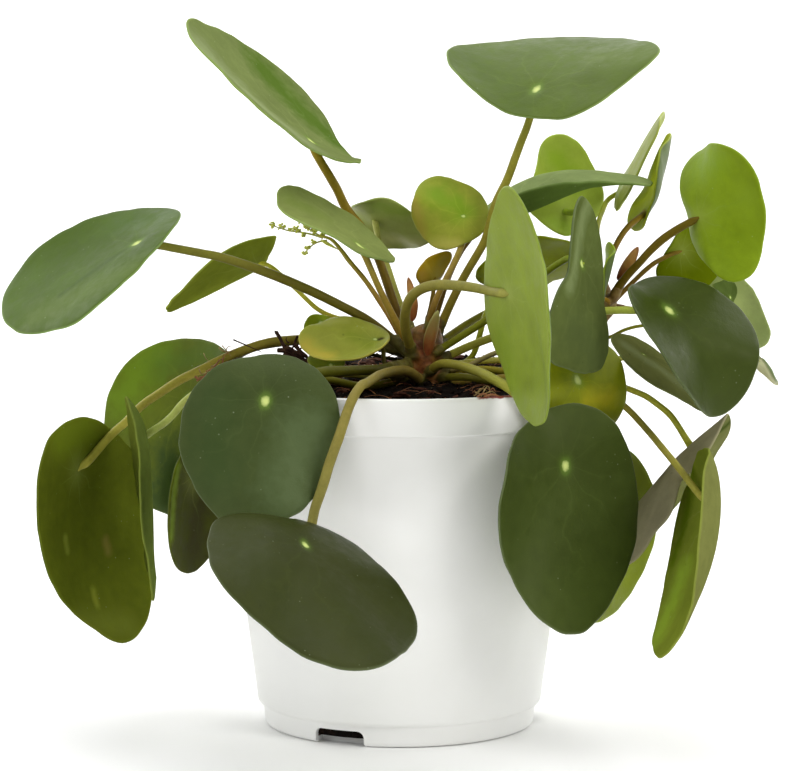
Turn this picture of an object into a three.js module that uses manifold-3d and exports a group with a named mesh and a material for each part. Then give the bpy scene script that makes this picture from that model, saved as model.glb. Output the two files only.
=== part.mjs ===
// Potted pilea: a plastic nursery pot, the soil in it, a short fleshy main stem with the
// thick bases of its leaf stalks, a side stem, 37 round leaves each on its own stalk,
// a flower stalk and three papery bud scales.
// Millimetres, +Z up. The origin is the centre of the pot's flat underside and -Y is the front.
import * as THREE from 'three';
import { mergeVertices } from 'three/addons/utils/BufferGeometryUtils.js';
import Module from 'manifold-3d';

const wasm = await Module();
wasm.setup();

// ---- driving dimensions ----
const POT_HEIGHT = 111.8;      // underside to top of rim
const RIM_RADIUS = 60;         // outside of the rim, a standard 12 cm pot
const RIM_BAND = 11.8;         // height of the thicker band at the rim
const NECK_RADIUS = 58;        // outside of the wall just under the band
const BODY_RADIUS = 45.8;      // outside of the wall at the bottom of the taper
const FOOT_RADIUS = 43.8;      // outside of the foot
const FOOT_HEIGHT = 7;
const WALL = 1.7;
const BASE = 1.8;              // thickness of the bottom
const NOTCH = { count: 3, width: 17, height: 5, first: -116 }; // drainage notches, degrees from +X
const SOIL_GAP = 0.3;          // between soil and pot, and round the stems
const SOIL_LEVEL = 111.6;
const STEM = { x: 8, y: -5, z0: 107.9, z1: 127, r0: 6.6, r1: 5.2 };
const SIDE_STEM = { r: 2.4, path: [[39.2, 8, 108.4], [44, 7.8, 113], [50, 7.5, 118.5], [60, 5, 126.5], [66.5, 2.5, 132.5], [68.3, 1.5, 138.5]] };
const BLADE = 1.0;             // thickness of a leaf blade at its middle
const SCALE = 0.5;             // thickness of a bud scale
const GAP = 0.35;              // clearance kept from a stalk that passes through the soil
const POT_SIDES = 60;

// One row per leaf. blade: attachment point x y z; azimuth, elevation and roll of the midrib;
// half length a, half width b, distance from the stalk to the middle of the blade; the bends
// along, across, twisted and S-shaped; the outline's harmonics 2 to 6; the lift of the margin's
// harmonics 1 to 4; a shallow dent of the outline. base: the thick part of the stalk that is
// grown together with the stem. stalk: the free part, from there to the blade. r: its radius.
const LEAVES = [
  { name: 'leaf_01', colour: 0x66803a, side: 0, r: 1.6,
    blade: [-28.3019, 12, 187.872, 2.6355, 0.7113, 0.1889, 38.0161, 31.671, 19.3883, -0.1241, -0.0792, -0.0101, -0.0459, -0.0799, -0.008, -0.0097, 0.0339, 0.0076, 0.0215, -0.0228, 0.0015, -0.0111, -0.0131, -0.0166, 0.0384, 0.0288, -0.01, -0.016, -0.0303, 0.0155, 0.0142, 0, 0, 1],
    base: [[7.4, -3.52, 121.34], [5.6, 0.9, 122.47], [3.32, 2.55, 124.51], [1.35, 2.71, 127], [0.04, 2.64, 129.88], [-0.36, 2.83, 130.95]],
    stalk: [[-0.49, 2.91, 131.35], [-1.91, 3.91, 135.77], [-3.36, 5.08, 140.13], [-4.85, 6.42, 144.43], [-6.37, 7.98, 148.64], [-8.15, 9.92, 152.57], [-10.12, 12.34, 156.14], [-12.46, 14.44, 159.66], [-15.5, 15.65, 163.07], [-18.06, 15.89, 166.98], [-20, 15.34, 171.26], [-22.29, 14.9, 175.38], [-24.71, 14.59, 179.43], [-27.05, 14, 183.49], [-28.14, 12.78, 186.18], [-28.63, 12.07, 187.5]] },
  { name: 'leaf_02', colour: 0x6c8445, side: 0, r: 1.45,
    blade: [43.3746, -5, 204.9912, 0.9774, 0.5133, 0.087, 29.2628, 31.6284, 13.8383, 0.1791, -0.1119, 0.056, 0.0061, -0.0582, -0.0291, 0.0166, -0.0277, 0.0082, 0.013, 0.0247, -0.0119, 0.0023, -0.0247, -0.08, 0.0326, 0.0045, -0.1134, 0.0325, 0.0175, -0.0217, 0.0267, 0, 0, 1],
    base: [[9, -3.83, 124.69], [12, -0.33, 125.82], [12.63, -0.85, 127.3], [13.25, -1.01, 128.76], [13.86, -1.11, 130.21], [14.31, -1.18, 131.28]],
    stalk: [[14.47, -1.22, 131.67], [16.39, -1.69, 136], [18.4, -2.26, 140.28], [20.51, -2.93, 144.5], [22.8, -3.73, 148.6], [25.19, -4.65, 152.62], [27.28, -5.55, 156.81], [28.62, -6.51, 161.29], [29.68, -7.36, 165.87], [31.36, -7.4, 170.31], [33.53, -6.9, 174.53], [35.34, -6.5, 178.92], [36.93, -6.08, 183.4], [38.6, -5.82, 187.86], [40.33, -5.7, 192.31], [41.77, -5.61, 196.86], [42.34, -5.52, 199.98], [43.09, -5.05, 203.04], [43.48, -4.77, 204.56]] },
  { name: 'leaf_03', colour: 0x607c3a, side: 0, r: 1.6,
    blade: [-83.0208, -18, 156.9607, 2.8334, -0.4347, -0.5446, 30.0559, 28.6977, 18.3772, -0.0104, 0.011, -0.1267, -0.0891, 0.0775, 0.0424, 0.0181, -0.0457, 0.0034, 0.0069, -0.0041, 0.0029, -0.0036, 0.0052, 0.0277, -0.0029, -0.0236, -0.0179, -0.011, 0.0031, 0.0133, 0.0085, 0, 0, 1],
    base: [[7, -6.3, 119.56], [4, -10.2, 120.68], [1.46, -8.08, 122.13], [-0.87, -7.52, 123.93], [-2.9, -6.43, 125.52]],
    stalk: [[-3.2, -6.26, 125.76], [-6.77, -4.5, 128.55], [-10.61, -3.7, 131.19], [-14.65, -3.91, 133.5], [-18.75, -4.79, 135.68], [-22.9, -5.79, 137.88], [-27.11, -6.67, 140], [-31.36, -7.46, 142.03], [-35.67, -8.18, 143.94], [-40.01, -8.83, 145.76], [-44.41, -9.42, 147.47], [-48.83, -9.96, 149.08], [-53.3, -10.48, 150.6], [-57.82, -10.99, 151.93], [-62.44, -11.47, 152.86], [-67.06, -11.92, 153.79], [-71.69, -12.36, 154.7], [-76.32, -12.85, 155.58], [-80.89, -13.53, 156.3], [-82.26, -16.32, 156.5], [-82.77, -17.81, 156.57]] },
  { name: 'leaf_04', colour: 0x7c8c3c, side: 0, r: 0.85,
    blade: [-47.0375, 25, 147.6982, -2.8872, -0.3028, 0.5589, 21.3312, 18.1966, 13.3479, 0.0903, -0.0445, 0.043, -0.0273, -0.015, -0.0272, -0.0629, -0.0334, -0.0347, -0.0009, 0.0352, 0.0268, -0.0038, -0.0143, -0.2381, -0.1065, 0.0668, -0.062, -0.0091, -0.0281, 0.0127, 0.0254, 0, 0, 1],
    base: [[6.6, -4.21, 120.65], [2.4, -1.83, 121.77], [1.12, -1.92, 122.54], [-0.14, -1.56, 123.26], [-1.41, -0.92, 123.93], [-2.33, -0.41, 124.42]],
    stalk: [[-2.67, -0.22, 124.59], [-6.5, 1.89, 126.48], [-10.46, 3.98, 128.09], [-14.61, 6.01, 129.2], [-18.81, 7.98, 130.14], [-22.95, 9.94, 131.3], [-26.77, 11.88, 133.22], [-30.09, 13.71, 135.99], [-33.23, 15.68, 138.86], [-36.33, 18, 141.52], [-39.35, 20.48, 144.12], [-42.67, 22.9, 146.37], [-45.42, 24.18, 147.07], [-46.85, 24.78, 147.29]] },
  { name: 'leaf_05', colour: 0x68803a, side: 0, r: 1.2,
    blade: [-12.3446, -14, 155.8503, 2.4754, 0.578, 0.1687, 21.5806, 19.2902, 11.528, -0.0557, 0.0255, -0.0979, -0.054, -0.0579, 0.0503, 0.0201, -0.0203, -0.0087, 0.0027, -0.0069, 0.0121, -0.0022, -0.001, -0.0267, 0.0348, -0.0156, 0.0002, 0.0232, -0.0139, 0.0115, 0.0241, 0, 0, 1],
    base: [[6.84, -6.09, 122.36], [3.36, -9.36, 123.48], [2.44, -9.32, 124.76], [1.76, -9.45, 125.68]],
    stalk: [[1.55, -9.5, 126.04], [-0.74, -10.06, 130.12], [-2.85, -10.59, 134.29], [-4.89, -11.15, 138.5], [-6.86, -11.8, 142.73], [-8.67, -12.58, 147], [-10.49, -13.35, 151.27], [-11.89, -13.73, 154.05], [-12.61, -13.9, 155.44]] },
  { name: 'leaf_06', colour: 0x7a8a30, side: 0, r: 1.1,
    blade: [-8.0904, 25, 161.9558, -0.2576, -0.3173, -0.8262, 13.5557, 11.8343, 5.6892, -0.0639, 0.0663, -0.0083, 0.0266, 0.0494, 0.0064, 0.0155, -0.0018, 0.0261, -0.0252, 0.0109, -0.0277, 0.011, -0.0097, 0.0489, -0.0424, -0.0214, 0.0115, -0.0877, 0.0581, 0.0093, -0.0811, 0, 0, 1],
    base: [[7.24, -3.67, 124.63], [4.96, 0.34, 125.76], [3.76, 2.02, 128.2], [2.45, 4.52, 130.48], [1.96, 5.1, 131.34]],
    stalk: [[1.8, 5.3, 131.67], [0.12, 7.46, 135.39], [-1.29, 9.64, 139.23], [-2.59, 11.85, 143.11], [-3.92, 14.11, 146.98], [-5.46, 16.28, 150.84], [-6.79, 18.77, 154.58], [-7.35, 22.11, 157.83], [-7.91, 23.94, 160.29], [-8.29, 24.67, 161.63]] },
  { name: 'leaf_07', colour: 0x5c7830, side: 0, r: 1.1,
    blade: [20.4527, -1, 164.2254, 2.8333, 0.2833, -1.1798, 12.7111, 11.8512, 5.1321, 0.0785, 0.2516, -0.0124, -0.1717, 0.0188, -0.0286, -0.0284, -0.0443, -0.02, 0.0033, -0.0278, 0.0187, -0.0042, 0.0056, 0.091, 0.0502, -0.0049, -0.082, 0.0845, -0.0009, 0.0633, 0.023, 0, 0, 1],
    base: [[8.29, -6.5, 126.67], [9.11, -10.79, 130.02], [9.52, -11.3, 131.46], [9.81, -11.7, 132.49]],
    stalk: [[9.91, -11.83, 132.88], [11.2, -12.99, 137.18], [13.08, -12.21, 141.47], [15.22, -9.85, 145.49], [17.4, -6.58, 149.38], [19.13, -2.07, 152.87], [20.42, 0.59, 156.02], [21.32, 1.19, 159.48], [21.04, 0.37, 162.47], [20.54, -0.54, 164.04]] },
  { name: 'leaf_08', colour: 0x86903c, side: 0, r: 1.2,
    blade: [38.9577, 24.4, 167.3279, -0.1561, 0.3181, 0.439, 29.7772, 26.8282, 11.603, 0.1996, -0.074, 0.0501, -0.3709, -0.0406, 0.0137, 0.0581, 0.0555, 0.0125, -0.016, 0.0155, 0.0088, 0.0127, -0.0004, -0.0763, -0.0919, -0.0004, -0.0708, -0.0047, -0.0899, -0.0135, 0.0191, 0, 0, 1],
    base: [[8.6, -3.65, 126.37], [10.39, 0.39, 128.98], [10.94, 1.15, 130.29], [11.44, 2.09, 131.59], [11.79, 2.61, 132.56]],
    stalk: [[11.92, 2.79, 132.92], [13.26, 4.81, 136.95], [14.63, 6.89, 140.96], [16.23, 9.05, 144.89], [18.02, 10.9, 148.76], [20.15, 12.7, 152.46], [22.72, 14.53, 155.87], [25.6, 16.36, 159.04], [28.79, 18.2, 161.89], [32.47, 20.84, 162.79], [36.2, 23.49, 163.45], [38.21, 24.29, 165.67], [39.13, 24.59, 166.9]] },
  { name: 'leaf_09', colour: 0x82963c, side: 0, r: 1.7,
    blade: [34.1146, -65, 144.6577, -1.1153, -0.3285, -1.3882, 30.7567, 32.5141, 11.409, 0.1612, 0.0956, 0.1828, 0.0025, -0.0643, 0.047, 0.0037, 0.0045, 0.0249, -0.0571, -0.0292, -0.0363, -0.0301, -0.0031, -0.1045, -0.011, 0.0011, -0.0859, -0.0192, -0.0046, 0.0106, 0.0157, 0, 0, 1],
    base: [[6.92, -6.21, 120.8], [3.68, -9.82, 121.93], [3.41, -11.69, 123.15], [3.2, -12.46, 123.96]],
    stalk: [[3.11, -12.74, 124.27], [2.24, -15.75, 127.63], [1.72, -18.81, 131.03], [1.76, -21.88, 134.49], [2.43, -25.02, 137.85], [4.03, -28.18, 140.88], [6.54, -31.45, 143.08], [9.59, -34.76, 144.45], [12.8, -38.16, 145.06], [16.06, -41.57, 145.28], [19.3, -45.02, 145.29], [22.52, -48.47, 145.09], [25.84, -51.82, 144.68], [28.39, -55.76, 144.45], [30.49, -61.69, 144.57], [32.55, -64.07, 144.57], [33.66, -65.19, 144.57]] },
  { name: 'leaf_10', colour: 0x45522e, side: 0, r: 1.3,
    blade: [56.7084, -40.8, 151.7953, -0.5194, -1.4524, -0.009, 24.8056, 22.8845, 9.6604, 0.1206, -0.0268, 0.1028, -0.0042, 0.0936, -0.1052, -0.1214, 0.0438, 0.0016, 0.0582, 0.011, 0.0136, 0.004, -0.0219, -0.1013, -0.0589, 0.1123, 0.0008, -0.0002, 0.0082, -0.0019, -0.0033, 0, 0, 1],
    base: [[8.92, -6.34, 120.22], [11.68, -10.38, 121.34], [13.03, -10.34, 122.19], [14.02, -10.3, 122.81]],
    stalk: [[14.37, -10.29, 123.03], [18.4, -10.16, 125.57], [22.42, -10.09, 128.13], [26.41, -10.04, 130.74], [30.29, -9.92, 133.5], [34.07, -9.57, 136.38], [37.75, -9.83, 139.36], [41.07, -11.47, 142.35], [43.95, -14.01, 145.16], [46.61, -17.12, 147.58], [48.97, -20.7, 149.65], [51.13, -24.57, 151.41], [53.23, -28.66, 152.64], [55.34, -32.88, 152.35], [56.35, -35.81, 151.72], [56.38, -38.97, 151.7], [56.28, -40.56, 151.74]] },
  { name: 'leaf_11', colour: 0x7d962d, side: 0, r: 1.2,
    blade: [55.8627, 66, 161.5628, 1.7373, 1.5904, -3.0469, 16.016, 13.8481, 8.1539, 0.0807, -0.0386, 0.0482, 0.1143, 0.032, -0.0353, 0.0688, -0.0071, 0.0357, -0.0047, -0.0178, -0.0191, 0.0008, 0.0024, 0.1025, -0.0075, 0.0542, -0.0345, 0.0849, -0.0156, -0.068, -0.0704, 0, 0, 1],
    base: [[9.24, -4.03, 122.51], [12.96, -1.1, 123.63], [13.96, 0.73, 124.06], [14.64, 1.58, 124.44]],
    stalk: [[14.9, 1.88, 124.58], [17.69, 5.24, 126.18], [20.54, 8.58, 127.75], [23.53, 11.87, 129.24], [26.64, 15.14, 130.6], [29.81, 18.4, 131.89], [33.04, 21.63, 133.18], [36.31, 24.81, 134.51], [39.61, 27.91, 135.97], [43.02, 30.86, 137.53], [46.52, 33.67, 139.14], [49.99, 36.41, 140.92], [53.27, 39.17, 143.01], [56.25, 41.88, 145.56], [58.91, 44.54, 148.48], [60.88, 47.38, 151.76], [61.79, 50.34, 155.38], [61.61, 53.38, 159.03], [60.3, 57.02, 161.61], [58.18, 61.28, 161.5], [56.73, 64.11, 161.52], [55.99, 65.52, 161.55]] },
  { name: 'leaf_12', colour: 0x7e8c34, side: 1, r: 0.95,
    blade: [74.9608, 55, 172.288, 0.2693, 1.0962, -0.2443, 18.6898, 15.7388, 7.9815, 0.0334, 0.1888, -0.1728, -0.0593, 0.013, -0.0059, 0.02, -0.0048, -0.0269, 0.0235, 0.0171, 0.029, 0.0006, 0.0316, -0.0092, 0.0341, -0.0866, 0.0497, 0.0274, -0.0447, 0.0093, 0.0066, 0, 0, 1],
    base: [[67.43, 3.09, 136.09], [67.07, 4.64, 136.26], [66.82, 6.29, 137.27], [66.53, 7.53, 138.38], [66.26, 8.69, 139.45], [66.09, 9.52, 140.2]],
    stalk: [[66.05, 9.88, 140.41], [65.72, 13.95, 142.43], [65.6, 18.29, 143.84], [65.57, 22.72, 145.05], [65.59, 27.19, 146.22], [65.64, 31.67, 147.47], [65.73, 36.1, 148.96], [65.82, 40.45, 150.76], [65.94, 44.8, 152.69], [66.16, 49.25, 154.74], [66.58, 53.92, 156.9], [67.4, 59, 159.17], [68.79, 64.32, 161.77], [70.82, 68.63, 165.32], [73.92, 66.65, 167.64], [75.48, 62.19, 168.73], [75.58, 57.38, 170.9], [75.41, 55, 172.07]] },
  { name: 'leaf_13', colour: 0x76862c, side: 1, r: 1.1,
    blade: [81.3085, 32, 163.3824, 0.7172, 1.1743, 2.6225, 16.5838, 14.3217, 10.3635, 0.2016, 0.0909, -0.2094, -0.1405, 0.005, 0.0013, -0.0006, -0.0261, 0.0482, -0.0005, 0.0152, -0.0125, -0.0084, -0.0184, 0.0272, 0.0113, 0.1061, 0.0262, 0.0017, -0.0051, 0.0431, 0.0177, 0, 0, 1],
    base: [[67.75, 2.82, 137.8], [67.38, 4.32, 138.2], [67.01, 4.98, 139.29], [66.6, 5.93, 140.31], [66.27, 7.02, 141.35], [66.09, 7.88, 142.14]],
    stalk: [[66.13, 8.15, 142.46], [67.06, 10.9, 146.24], [68.73, 13.25, 150.05], [70.45, 15.95, 153.6], [72.53, 18.79, 156.81], [75.06, 21.74, 159.55], [77.84, 25.06, 161.5], [79.59, 27.49, 162.52], [80.55, 30.4, 163.27], [80.84, 31.92, 163.55]] },
  { name: 'leaf_14', colour: 0x789628, side: 1, r: 1.4,
    blade: [96.0484, -8, 164.2757, 2.3432, 2.7606, 1.6821, 19.6576, 20.1715, 9.8339, 0.0021, -0.0321, 0.1146, 0.0067, -0.0698, -0.0529, 0.0358, -0.0472, -0.0008, -0.0088, -0.0207, 0.0463, -0.0123, -0.0235, -0.1325, -0.029, 0.001, 0.0698, -0.0073, 0.0382, 0.0461, -0.0653, 0, 0, 1],
    base: [[68.24, 0.4, 137.81], [68.35, -1.18, 137.55], [69.05, -1.41, 138.96], [69.73, -1.64, 140.37], [70.22, -1.8, 141.42]],
    stalk: [[70.43, -1.87, 141.78], [73.24, -2.57, 145.51], [76.41, -3.29, 148.98], [79.48, -4, 152.55], [82.78, -4.69, 155.9], [86.45, -5.56, 158.8], [91.64, -7.1, 162.09], [94.34, -7.93, 163.54], [95.71, -8.36, 164.22]] },
  { name: 'leaf_15', colour: 0x6c7c24, side: 1, r: 0.85,
    blade: [91.6043, 20, 151.8414, 0.5782, -0.7596, -1.2895, 11.8429, 10.8247, 5.2365, 0.1273, -0.0101, 0.0042, 0.0467, -0.0468, 0.0579, 0.0251, -0.0278, 0.0187, -0.0058, -0.0137, 0.0045, -0.0187, -0.0084, -0.0279, -0.022, -0.007, -0.0156, 0.0833, -0.0406, -0.0359, 0.0491, 0, 0, 1],
    base: [[68.28, 2.97, 136.09], [69, 4.39, 136.26], [69.79, 4.91, 136.97]],
    stalk: [[70.06, 5.1, 137.22], [73.23, 7.22, 140.12], [76.44, 9.33, 142.98], [79.7, 11.42, 145.79], [83.26, 13.41, 148.3], [88.08, 16.87, 150.39], [90.52, 18.74, 151.19], [91.79, 19.55, 151.74]] },
  { name: 'leaf_16', colour: 0x44512d, side: 0, r: 1.4,
    blade: [84.3053, -32, 136.8292, -0.0837, -0.8087, 0.7605, 24.8494, 22.186, 10.9661, 0.164, -0.0539, 0.172, -0.0507, 0.0204, 0.0188, -0.0267, -0.0414, -0.0074, 0.0005, 0.051, 0.0062, -0.0035, -0.005, -0.0625, -0.0709, -0.0503, 0.0934, 0.003, 0.0167, -0.0324, 0.099, 0, 0, 1],
    base: [[9.48, -5.75, 118.05], [13.93, -7.98, 119.18], [15.36, -7.78, 119.81], [16.42, -7.62, 120.27]],
    stalk: [[16.8, -7.57, 120.44], [21.11, -6.97, 122.32], [25.5, -6.53, 124.09], [29.97, -6.28, 125.68], [34.47, -6.02, 127.17], [38.99, -5.81, 128.61], [43.54, -5.76, 129.96], [48.12, -6, 131.19], [52.72, -6.57, 132.21], [57.31, -7.36, 133.09], [61.85, -8.52, 133.85], [66.22, -10.25, 134.49], [70.24, -12.73, 134.88], [73.84, -15.81, 135.1], [76.99, -19.34, 135.44], [79.45, -23.37, 135.91], [81.67, -27.55, 136.34], [83.27, -30.27, 136.51], [84.07, -31.63, 136.58]] },
  { name: 'leaf_17', colour: 0x4e5c2c, side: 0, r: 1,
    blade: [78.3003, -6, 120.5897, 0.0216, -0.5754, 0.268, 20.1161, 16.744, 8.9235, 0.0562, 0.1464, -0.0524, -0.0114, -0.0181, 0.0402, -0.0105, -0.0173, -0.0019, 0.0002, -0.0111, -0.026, 0.0022, 0.0122, -0.0692, -0.0168, -0.0317, -0.0023, -0.0047, 0.0039, 0.013, 0.0058, 0, 0, 1],
    base: [[9.56, -5.65, 115.44], [14.25, -7.61, 116.57], [15.8, -7.26, 116.77], [17.34, -7.1, 117], [18.46, -7.01, 117.18]],
    stalk: [[18.88, -6.98, 117.24], [23.51, -6.68, 117.87], [28.18, -6.46, 118.21], [32.87, -6.29, 118.34], [37.55, -6.14, 118.36], [42.24, -6.03, 118.34], [46.93, -5.96, 118.3], [51.62, -5.95, 118.14], [56.31, -5.98, 117.98], [61, -6, 118.01], [65.68, -6.01, 118.33], [70.34, -6.02, 118.83], [73.44, -6, 119.26], [76.51, -5.92, 119.85], [78.04, -5.87, 120.19]] },
  { name: 'leaf_18', colour: 0x7a8c2c, side: 1, r: 0.55,
    blade: [109.4427, 32, 132.7899, -3.7625, -1.1672, 0.6362, 14.9189, 14.5952, 5.9222, -0.099, 0.2448, -0.1065, 0.0437, -0.007, -0.0594, -0.0773, -0.0043, 0.0278, -0.03, -0.0038, 0.0056, -0.0165, -0.0147, 0.0029, 0.051, -0.0774, -0.1087, -0.0504, -0.0048, -0.1045, -0.0053, 0, 0, 1],
    base: [],
    stalk: [[64.42, 3.13, 123.98], [68.5, 5.46, 124.79], [72.26, 7.91, 126.45], [76.25, 10.34, 127.43], [80.39, 12.72, 127.78], [84.53, 15.05, 128.35], [88.67, 17.39, 128.97], [92.76, 19.8, 129.61], [96.73, 22.39, 130.26], [100.53, 25.22, 130.93], [105.56, 29.05, 131.86], [108.21, 30.76, 132.36], [109.57, 31.54, 132.63]] },
  { name: 'leaf_19', colour: 0x6a7a30, side: 1, r: 0.55,
    blade: [107.4366, 8, 137.3806, 3.9008, 0.5344, -1.2399, 5.9791, 4.9362, 2.283, 0.1268, 0.1231, 0.0676, -0.0506, -0.0278, -0.0127, 0.0883, 0.0569, 0.0379, 0.0165, 0.0262, -0.0176, -0.0185, 0.0247, -0.0613, -0.0913, -0.0026, 0.054, 0.068, 0.1082, -0.0694, 0.0441, 0, 0, 1],
    base: [[68.01, 3.13, 134.95], [68.69, 4.57, 134.97], [70.23, 4.64, 134.76], [71.75, 4.65, 134.5], [72.86, 4.73, 134.28]],
    stalk: [[73.28, 4.77, 134.21], [77.9, 5.18, 133.75], [82.53, 5.59, 134.09], [87.13, 6, 134.76], [91.74, 6.43, 135.39], [96.35, 6.85, 135.99], [102.49, 7.45, 136.81], [105.55, 7.9, 137.15], [107.05, 8.29, 137.24]] },
  { name: 'leaf_20', colour: 0x7a8a34, side: 1, r: 0.6,
    blade: [119.4132, 24, 115.3939, -0.4566, -0.9204, -0.7255, 6.6778, 5.2433, 3.2805, 0.1931, 0.1482, -0.0471, -0.041, -0.0092, -0.0766, -0.0509, 0.0745, -0.0245, 0.0235, -0.0726, -0.0098, 0.0268, 0.0241, -0.015, 0.1681, 0.1349, 0.0486, 0.0021, 0.0794, -0.0205, -0.0096, 0, 0, 1],
    base: [[68, 3.17, 133.96], [69.02, 4.4, 134], [70.53, 5.35, 133.71], [72.02, 5.93, 133.51], [73.11, 6.29, 133.38]],
    stalk: [[73.51, 6.42, 133.32], [77.9, 7.88, 132.46], [82.16, 9.36, 131.09], [86.35, 10.85, 129.49], [90.5, 12.36, 127.79], [94.64, 13.89, 126.05], [98.74, 15.39, 124.19], [102.81, 16.88, 122.24], [106.87, 18.42, 120.3], [110.94, 20.13, 118.52], [115.01, 22.12, 117.06], [117.7, 23.36, 115.94], [119, 23.83, 115.17]] },
  { name: 'leaf_21', colour: 0x646e1a, side: 0, r: 0.9,
    blade: [55.8712, -34, 114.9211, 0.7073, -0.8314, 1.5013, 19.3587, 18.8947, 6.6357, 0.0682, 0.148, 0.0016, 0.0083, -0.0298, -0.0166, -0.0204, 0.0308, 0.0015, -0.0048, 0.0288, -0.0027, -0.0318, 0.0246, -0.0671, 0.0404, -0.0618, 0.0025, 0.0211, -0.0117, -0.0826, 0.0083, 0, 0, 1],
    base: [[9.48, -5.86, 113.92], [13.93, -8.42, 115.05], [15.38, -9.56, 115.43], [16.84, -10.17, 115.69], [17.9, -10.5, 115.86]],
    stalk: [[18.3, -10.63, 115.95], [22.48, -12.05, 117.26], [26.25, -13.57, 119.46], [30.12, -15.21, 121.39], [34.31, -16.96, 122.34], [38.57, -18.8, 122.6], [42.69, -20.85, 121.92], [46.48, -22.93, 120.15], [49.98, -25.23, 118.08], [54.06, -29.31, 115.76], [55.14, -32.14, 115.13], [55.53, -33.64, 114.9]] },
  { name: 'leaf_22', colour: 0x424f2c, side: 0, r: 1.6,
    blade: [51.2805, -51, 90.1676, -1.2548, -1.4041, -0.2553, 33.1744, 29.3645, 15.3443, -0.0573, -0.0299, -0.0752, -0.0381, 0.0378, -0.0082, 0.0323, -0.0079, 0.0263, -0.0244, -0.0026, 0.0024, -0.001, -0.0064, -0.0177, -0.0424, -0.0134, 0.0213, 0.0615, 0.0459, -0.0075, -0.0484, 0, 0, 1],
    base: [[8.44, -6.65, 114.26], [9.77, -11.62, 115.39], [10.43, -12.92, 116.03], [10.9, -13.88, 116.54]],
    stalk: [[11.07, -14.22, 116.71], [13.2, -18.21, 118.25], [15.71, -22.26, 118.75], [18.23, -26.33, 118.82], [20.7, -30.45, 118.59], [23.08, -34.62, 118.15], [25.15, -39.01, 117.75], [27.02, -43.59, 117.33], [29.6, -47.85, 116.36], [33.43, -50.88, 114.39], [36.88, -50.8, 111.42], [39.97, -49, 107.96], [42.87, -48.08, 104.25], [45.56, -48.53, 100.48], [47.54, -48.71, 96.45], [48.22, -48.55, 93.68], [50.04, -49.83, 91.25], [51.01, -50.59, 90.09]] },
  { name: 'leaf_23', colour: 0x69821e, side: 0, r: 1.3,
    blade: [64.0876, -1.9, 71.6956, -2.0367, -1.7922, -1.5275, 28.8997, 29.1692, 11.7124, -0.062, -0.0853, 0.0206, 0.1608, -0.0328, -0.0269, -0.0095, 0.0258, 0, 0, 0, 0, 0, 0, 0, 0, 0, 0, 0, 0, 0, 0, 0, 0, 1],
    base: [[9.24, -6.21, 111.83], [12.97, -9.84, 112.95], [13.97, -11.36, 113.2], [14.94, -12.59, 113.41], [15.64, -13.47, 113.56]],
    stalk: [[15.91, -13.79, 113.62], [18.96, -17.28, 114.15], [22.65, -20.16, 114.19], [26.7, -22.48, 113.72], [31.14, -23.97, 113.27], [35.84, -23.83, 113.16], [40.44, -22.72, 113.22], [45.11, -22.01, 113.36], [49.83, -22.46, 113.67], [54.57, -22.9, 113.93], [58.49, -22.62, 111.62], [60.63, -20.85, 107.56], [61.94, -17.59, 103.27], [63.08, -12.73, 98.96], [64.08, -6.24, 94.53], [64.79, 0.58, 90.02], [64.61, 2.75, 86.03], [63.53, 1.57, 82.52], [62.36, 0.45, 79], [61.87, -0.33, 75.24], [62.94, -1.19, 72.84], [63.65, -1.66, 71.7]] },
  { name: 'leaf_24', colour: 0x7d765a, side: 0, r: 1.15,
    blade: [93.5091, -12.4, 90.6533, -3.6112, -0.8924, 3.1154, 30.5958, 28.6399, 14.9281, -0.1274, -0.2765, -0.1268, -0.1646, -0.0002, 0.0124, -0.009, -0.0576, 0.0187, -0.0186, -0.0056, 0.0136, -0.0104, 0.0184, -0.0439, -0.0708, -0.0687, 0.0542, -0.0387, -0.014, -0.0419, 0.0104, -2.12, 0.27, 0.27],
    base: [[9.48, -5.88, 112.97], [13.93, -8.51, 114.09], [15.53, -8.03, 114.24], [17.09, -8.03, 114.49], [18.23, -8.1, 114.69]],
    stalk: [[18.64, -8.13, 114.76], [23.3, -8.48, 115.49], [28.01, -8.8, 115.59], [32.7, -9.09, 115.09], [37.42, -9.35, 115.05], [42.14, -9.59, 115.11], [46.87, -9.8, 115.1], [51.59, -9.99, 114.85], [56.28, -10.16, 114.27], [60.92, -10.31, 113.41], [65.5, -10.46, 112.24], [69.95, -10.61, 110.63], [74.4, -10.75, 109.04], [78.72, -10.88, 107.15], [82.57, -11.01, 104.41], [86.19, -11.13, 101.37], [89, -11.24, 97.57], [90.66, -11.41, 94.9], [92.33, -11.93, 92.28], [93.16, -12.24, 90.97]] },
  { name: 'leaf_25', colour: 0x505f10, side: 0, r: 1.2,
    blade: [96.1279, -46.9, 78.2968, -2.0061, -1.0262, -2.2316, 35.2944, 30.5401, 17.0314, 0.2499, 0.146, -0.0168, 0.098, -0.0841, 0.0109, 0.0246, 0.0426, -0.0055, 0.025, -0.0135, -0.0036, 0.0235, -0.001, 0.0506, 0.0669, 0.0345, -0.0165, 0.0075, 0.0174, -0.0085, 0.0093, 0, 0, 1],
    base: [[9.32, -6.15, 109.87], [13.3, -9.58, 111], [14.81, -10.27, 111.17], [16.27, -10.75, 111.38], [17.34, -11.15, 111.55]],
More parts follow.
